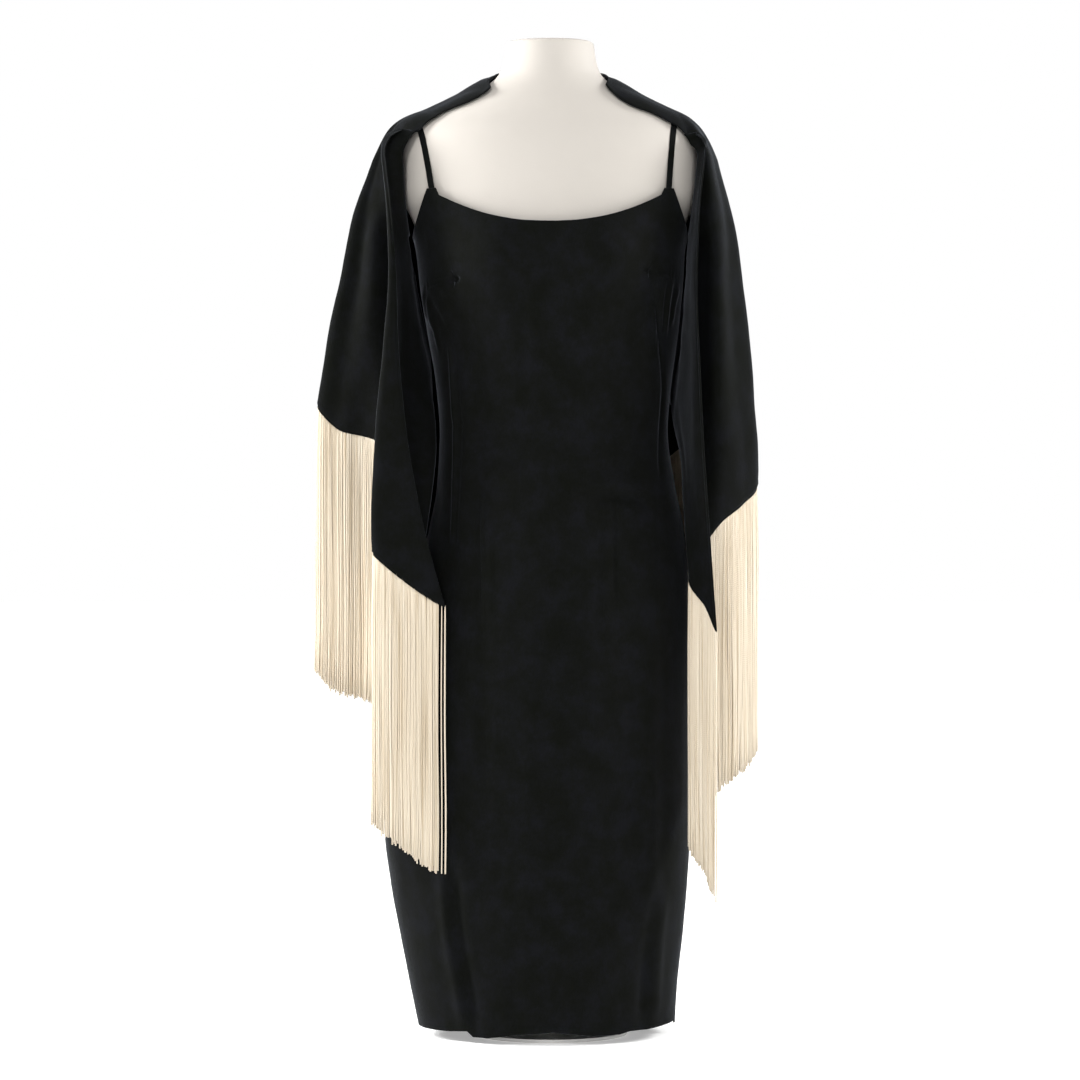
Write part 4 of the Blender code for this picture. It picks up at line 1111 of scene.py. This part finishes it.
def make_fringe(name, edge, outward):
    """Strands of yarn in staggered layers, rooted inside the hem of the shawl's edge."""
    lengths = lengths_along(edge, 0)
    roots, outs, places = [], [], []
    for layer, (shift, offset) in enumerate(FRINGE_LAYERS):
        for k in range(int(lengths[-1] / STRAND_PITCH) + 1):
            s = (k + offset + RANDOM.uniform(-PITCH_CHANGE, PITCH_CHANGE)) * STRAND_PITCH
            if s < LOOSE_END and (layer > 0 or k % 2):
                continue
            root, out = [np.array([np.interp(s, lengths, line[:, i]) for i in range(3)]) for line in (edge, outward)]
            out[2] = 0
            out /= max(np.linalg.norm(out), 1e-9)
            roots.append(root - out * ROOT_INSIDE)
            outs.append(out * (shift + RANDOM.uniform(-SHIFT_CHANGE, SHIFT_CHANGE)))
            places.append(s)
    count = len(roots)
    strand_length = FRINGE_LENGTH + np.array([RANDOM.gauss(0, LENGTH_CHANGE) for _ in range(count)])
    share = np.linspace(0, 1, STRAND_RINGS)
    share[1] = ROOT_SHARE
    path = np.repeat(np.array(roots)[:, None, :], STRAND_RINGS, axis=1)
    path[..., 2] -= strand_length[:, None] * share - ROOT_RISE
    path += np.array(outs)[:, None, :] * smooth_step(share / SPREAD_SHARE)[None, :, None]
    along = np.gradient(edge, axis=0)
    along_at = np.stack([np.interp(places, lengths, along[:, i]) for i in range(2)], axis=1)
    along_at /= np.linalg.norm(along_at, axis=1, keepdims=True)
    for k, (place, (dx, dy)) in enumerate(zip(places, along_at)):
        for j, drop in enumerate(share[1:], 1):
            own = strand_noise(OWN_NOISE, place, drop, k * OWN_SHIFT)
            sway = drop * (SWAY_TOGETHER * strand_noise(SWAY_NOISE, place, drop) + SWAY_ALONE * own)
            depth = drop * (DEPTH_TOGETHER * strand_noise(DEPTH_NOISE, place, drop) + DEPTH_ALONE * own)
            path[k, j, :2] += (dx * sway + dy * depth, dy * sway - dx * depth)
    path[..., 0], path[..., 1] = clear_of_dress(path, STRAND_CLEARANCE)
    thick = np.array([RANDOM.uniform(*RADIUS_SHARES) for _ in range(count)]) * STRAND_RADIUS
    profile = np.ones(STRAND_RINGS)
    profile[:2], profile[-1] = ROOT_PROFILE, TIP_PROFILE
    turn = np.array([RANDOM.uniform(0, 2 * math.pi) for _ in range(count)])
    angle = turn[:, None] + np.arange(STRAND_SIDES) * 2 * math.pi / STRAND_SIDES
    ring = np.stack([np.cos(angle), np.sin(angle), 0 * angle], axis=-1)
    points = path[:, :, None, :] + ring[:, None, :, :] * (thick[:, None] * profile)[:, :, None, None]
    firsts = np.arange(count)[:, None] * STRAND_RINGS * STRAND_SIDES
    quads = grid_faces(STRAND_RINGS, STRAND_SIDES, closed=True)[:, ::-1]
    sides = np.arange(STRAND_SIDES)
    caps = np.stack([firsts + sides, firsts + STRAND_RINGS * STRAND_SIDES - 1 - sides], axis=1)
    faces = (firsts[:, :, None] + quads).reshape(-1, 4).tolist() + caps.reshape(-1, STRAND_SIDES).tolist()
    one = []
    for high, low in zip(share * FRINGE_LENGTH, share[1:] * FRINGE_LENGTH):
        for k in range(STRAND_SIDES):
            one += [(u / STRAND_SIDES, v) for u, v in ((k, low), (k + 1, low), (k + 1, high), (k, high))]
    obj = mesh_object(name, points, faces, FRINGE, np.tile(one, (count, 1)), "yarn")
    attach(obj, "root")
    return obj


# ---- studio


FLOOR_GLOW = (0.8, 4.0, 0.34, 0.8)  # from one distance to another, the bounce of the room's light off the floor
ROOM_SHADES = ((0.16, 1.0), (0.42, 0.34))  # sine of the height above the horizon, and the room's brightness there
FRONT_SHADES = ((0.1, 0.82), (0.45, 1.0))  # the same from the room's front side (0) to its back (1)
FRONT_FLOOR = (-2.4, -0.42, 0.82, 1.0)  # from one place along y to another, the floor's share of that bounce
LIGHTS = (
    ("key", (-1.1, -3.4, 3.0), 92, 0.9),
    ("fill", (1.1, -3.7, 2.2), 40, 0.9),
    ("rim_left", (-2.9, 0.1, 1.7), 190, 1.2),
    ("rim_right", (2.9, 0.2, 1.9), 115, 1.2),
)


LIGHT_AIM = (0, 0, 0.7)
FLOOR_RADIUS, FLOOR_SIDES, FLOOR_LEVEL = 30, 96, -0.0003
FLOOR_COLOUR = (0.9, 0.9, 0.89, 1)
WHITE = (1, 1, 1, 1)


def greys(stops):
    return [(position, (grey, grey, grey)) for position, grey in stops]


def make_studio():
    """A pale floor that glows as if the room's light came back from it, the room, and the lamps."""
    disc = bpy.data.meshes.new("studio_floor")
    turns = [2 * math.pi * k / FLOOR_SIDES for k in range(FLOOR_SIDES)]
    around = [(FLOOR_RADIUS * math.cos(turn), FLOOR_RADIUS * math.sin(turn), FLOOR_LEVEL) for turn in turns]
    disc.from_pydata(around, [], [list(range(FLOOR_SIDES))])
    floor = bpy.data.objects.new("studio_floor", disc)
    bpy.context.scene.collection.objects.link(floor)
    pale = new_material("pale_floor")
    distance = pale.add("ShaderNodeVectorMath", operation="LENGTH")
    pale.link(pale.coordinates(), distance.inputs[0])
    glow = pale.mapped(distance.outputs["Value"], FLOOR_GLOW)
    behind = pale.mapped(pale.split(pale.coordinates())["Y"], FRONT_FLOOR)
    pale.set(Base_Color=FLOOR_COLOUR, Roughness=1.0, Specular_IOR_Level=0.0)
    pale.set(Emission_Color=WHITE, Emission_Strength=pale.math("MULTIPLY", glow, behind))
    disc.materials.append(pale.owner)

    room = Nodes(bpy.data.worlds.new("pale_room"), "Background")
    bpy.context.scene.world = room.owner
    where = room.split(room.add("ShaderNodeTexCoord").outputs["Generated"])
    by_height = room.ramp(where["Z"], greys(ROOM_SHADES))
    to_back = room.ramp(room.mapped(where["Y"], (-1, 1, 0, 1)), greys(FRONT_SHADES))
    both = room.add("ShaderNodeVectorMath", operation="MULTIPLY")
    for socket, shade in zip(both.inputs, (by_height, to_back)):
        room.link(shade, socket)
    room.set(Color=both.outputs["Vector"], Strength=1.0)
    bpy.context.scene.view_settings.view_transform = "Standard"

    for name, place, watts, size in LIGHTS:
        light = bpy.data.lights.new(name, "AREA")
        light.energy = watts
        light.shape = "DISK"
        light.size = size
        lamp = bpy.data.objects.new(name, light)
        lamp.location = place
        lamp.rotation_euler = (Vector(LIGHT_AIM) - Vector(place)).to_track_quat("-Z", "Y").to_euler()
        bpy.context.scene.collection.objects.link(lamp)


CAMERA_DISTANCE, CAMERA_X, CAMERA_HEIGHT = 4.3, -0.0116, 0.5737
FRAME_WIDTH = 1.2571  # metres across the frame at the upright
SENSOR_WIDTH = 36.0


def make_camera():
    camera = bpy.data.cameras.new("camera")
    camera.sensor_width = SENSOR_WIDTH
    camera.lens = SENSOR_WIDTH * CAMERA_DISTANCE / FRAME_WIDTH
    obj = bpy.data.objects.new("camera", camera)
    obj.location = (CAMERA_X, -CAMERA_DISTANCE, CAMERA_HEIGHT)
    obj.rotation_euler = (math.radians(90), 0, 0)
    bpy.context.scene.collection.objects.link(obj)
    bpy.context.scene.camera = obj


def paint_stand():
    for name in ("form_pole", "form_base"):
        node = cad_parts[name]
        node.data.materials.clear()
        node.data.materials.append(STEEL)


make_camera()
make_studio()
make_form()
paint_stand()
front, back_right, back_left = make_dress()
make_allowances()
straps = make_straps()
make_zip()
shawl, shawl_points, shawl_normals = make_shawl()
middle = sum(COLUMNS_BETWEEN) * SHAWL_FINE
for side, part in (("left", slice(0, middle + 1)), ("right", slice(None, middle - 1, -1))):
    piece = make_fringe(f"shawl_fringe_{side}_yarn", shawl_points[-1][part], shawl_normals[-1][part])
    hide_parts(f"shawl_fringe_{side}")
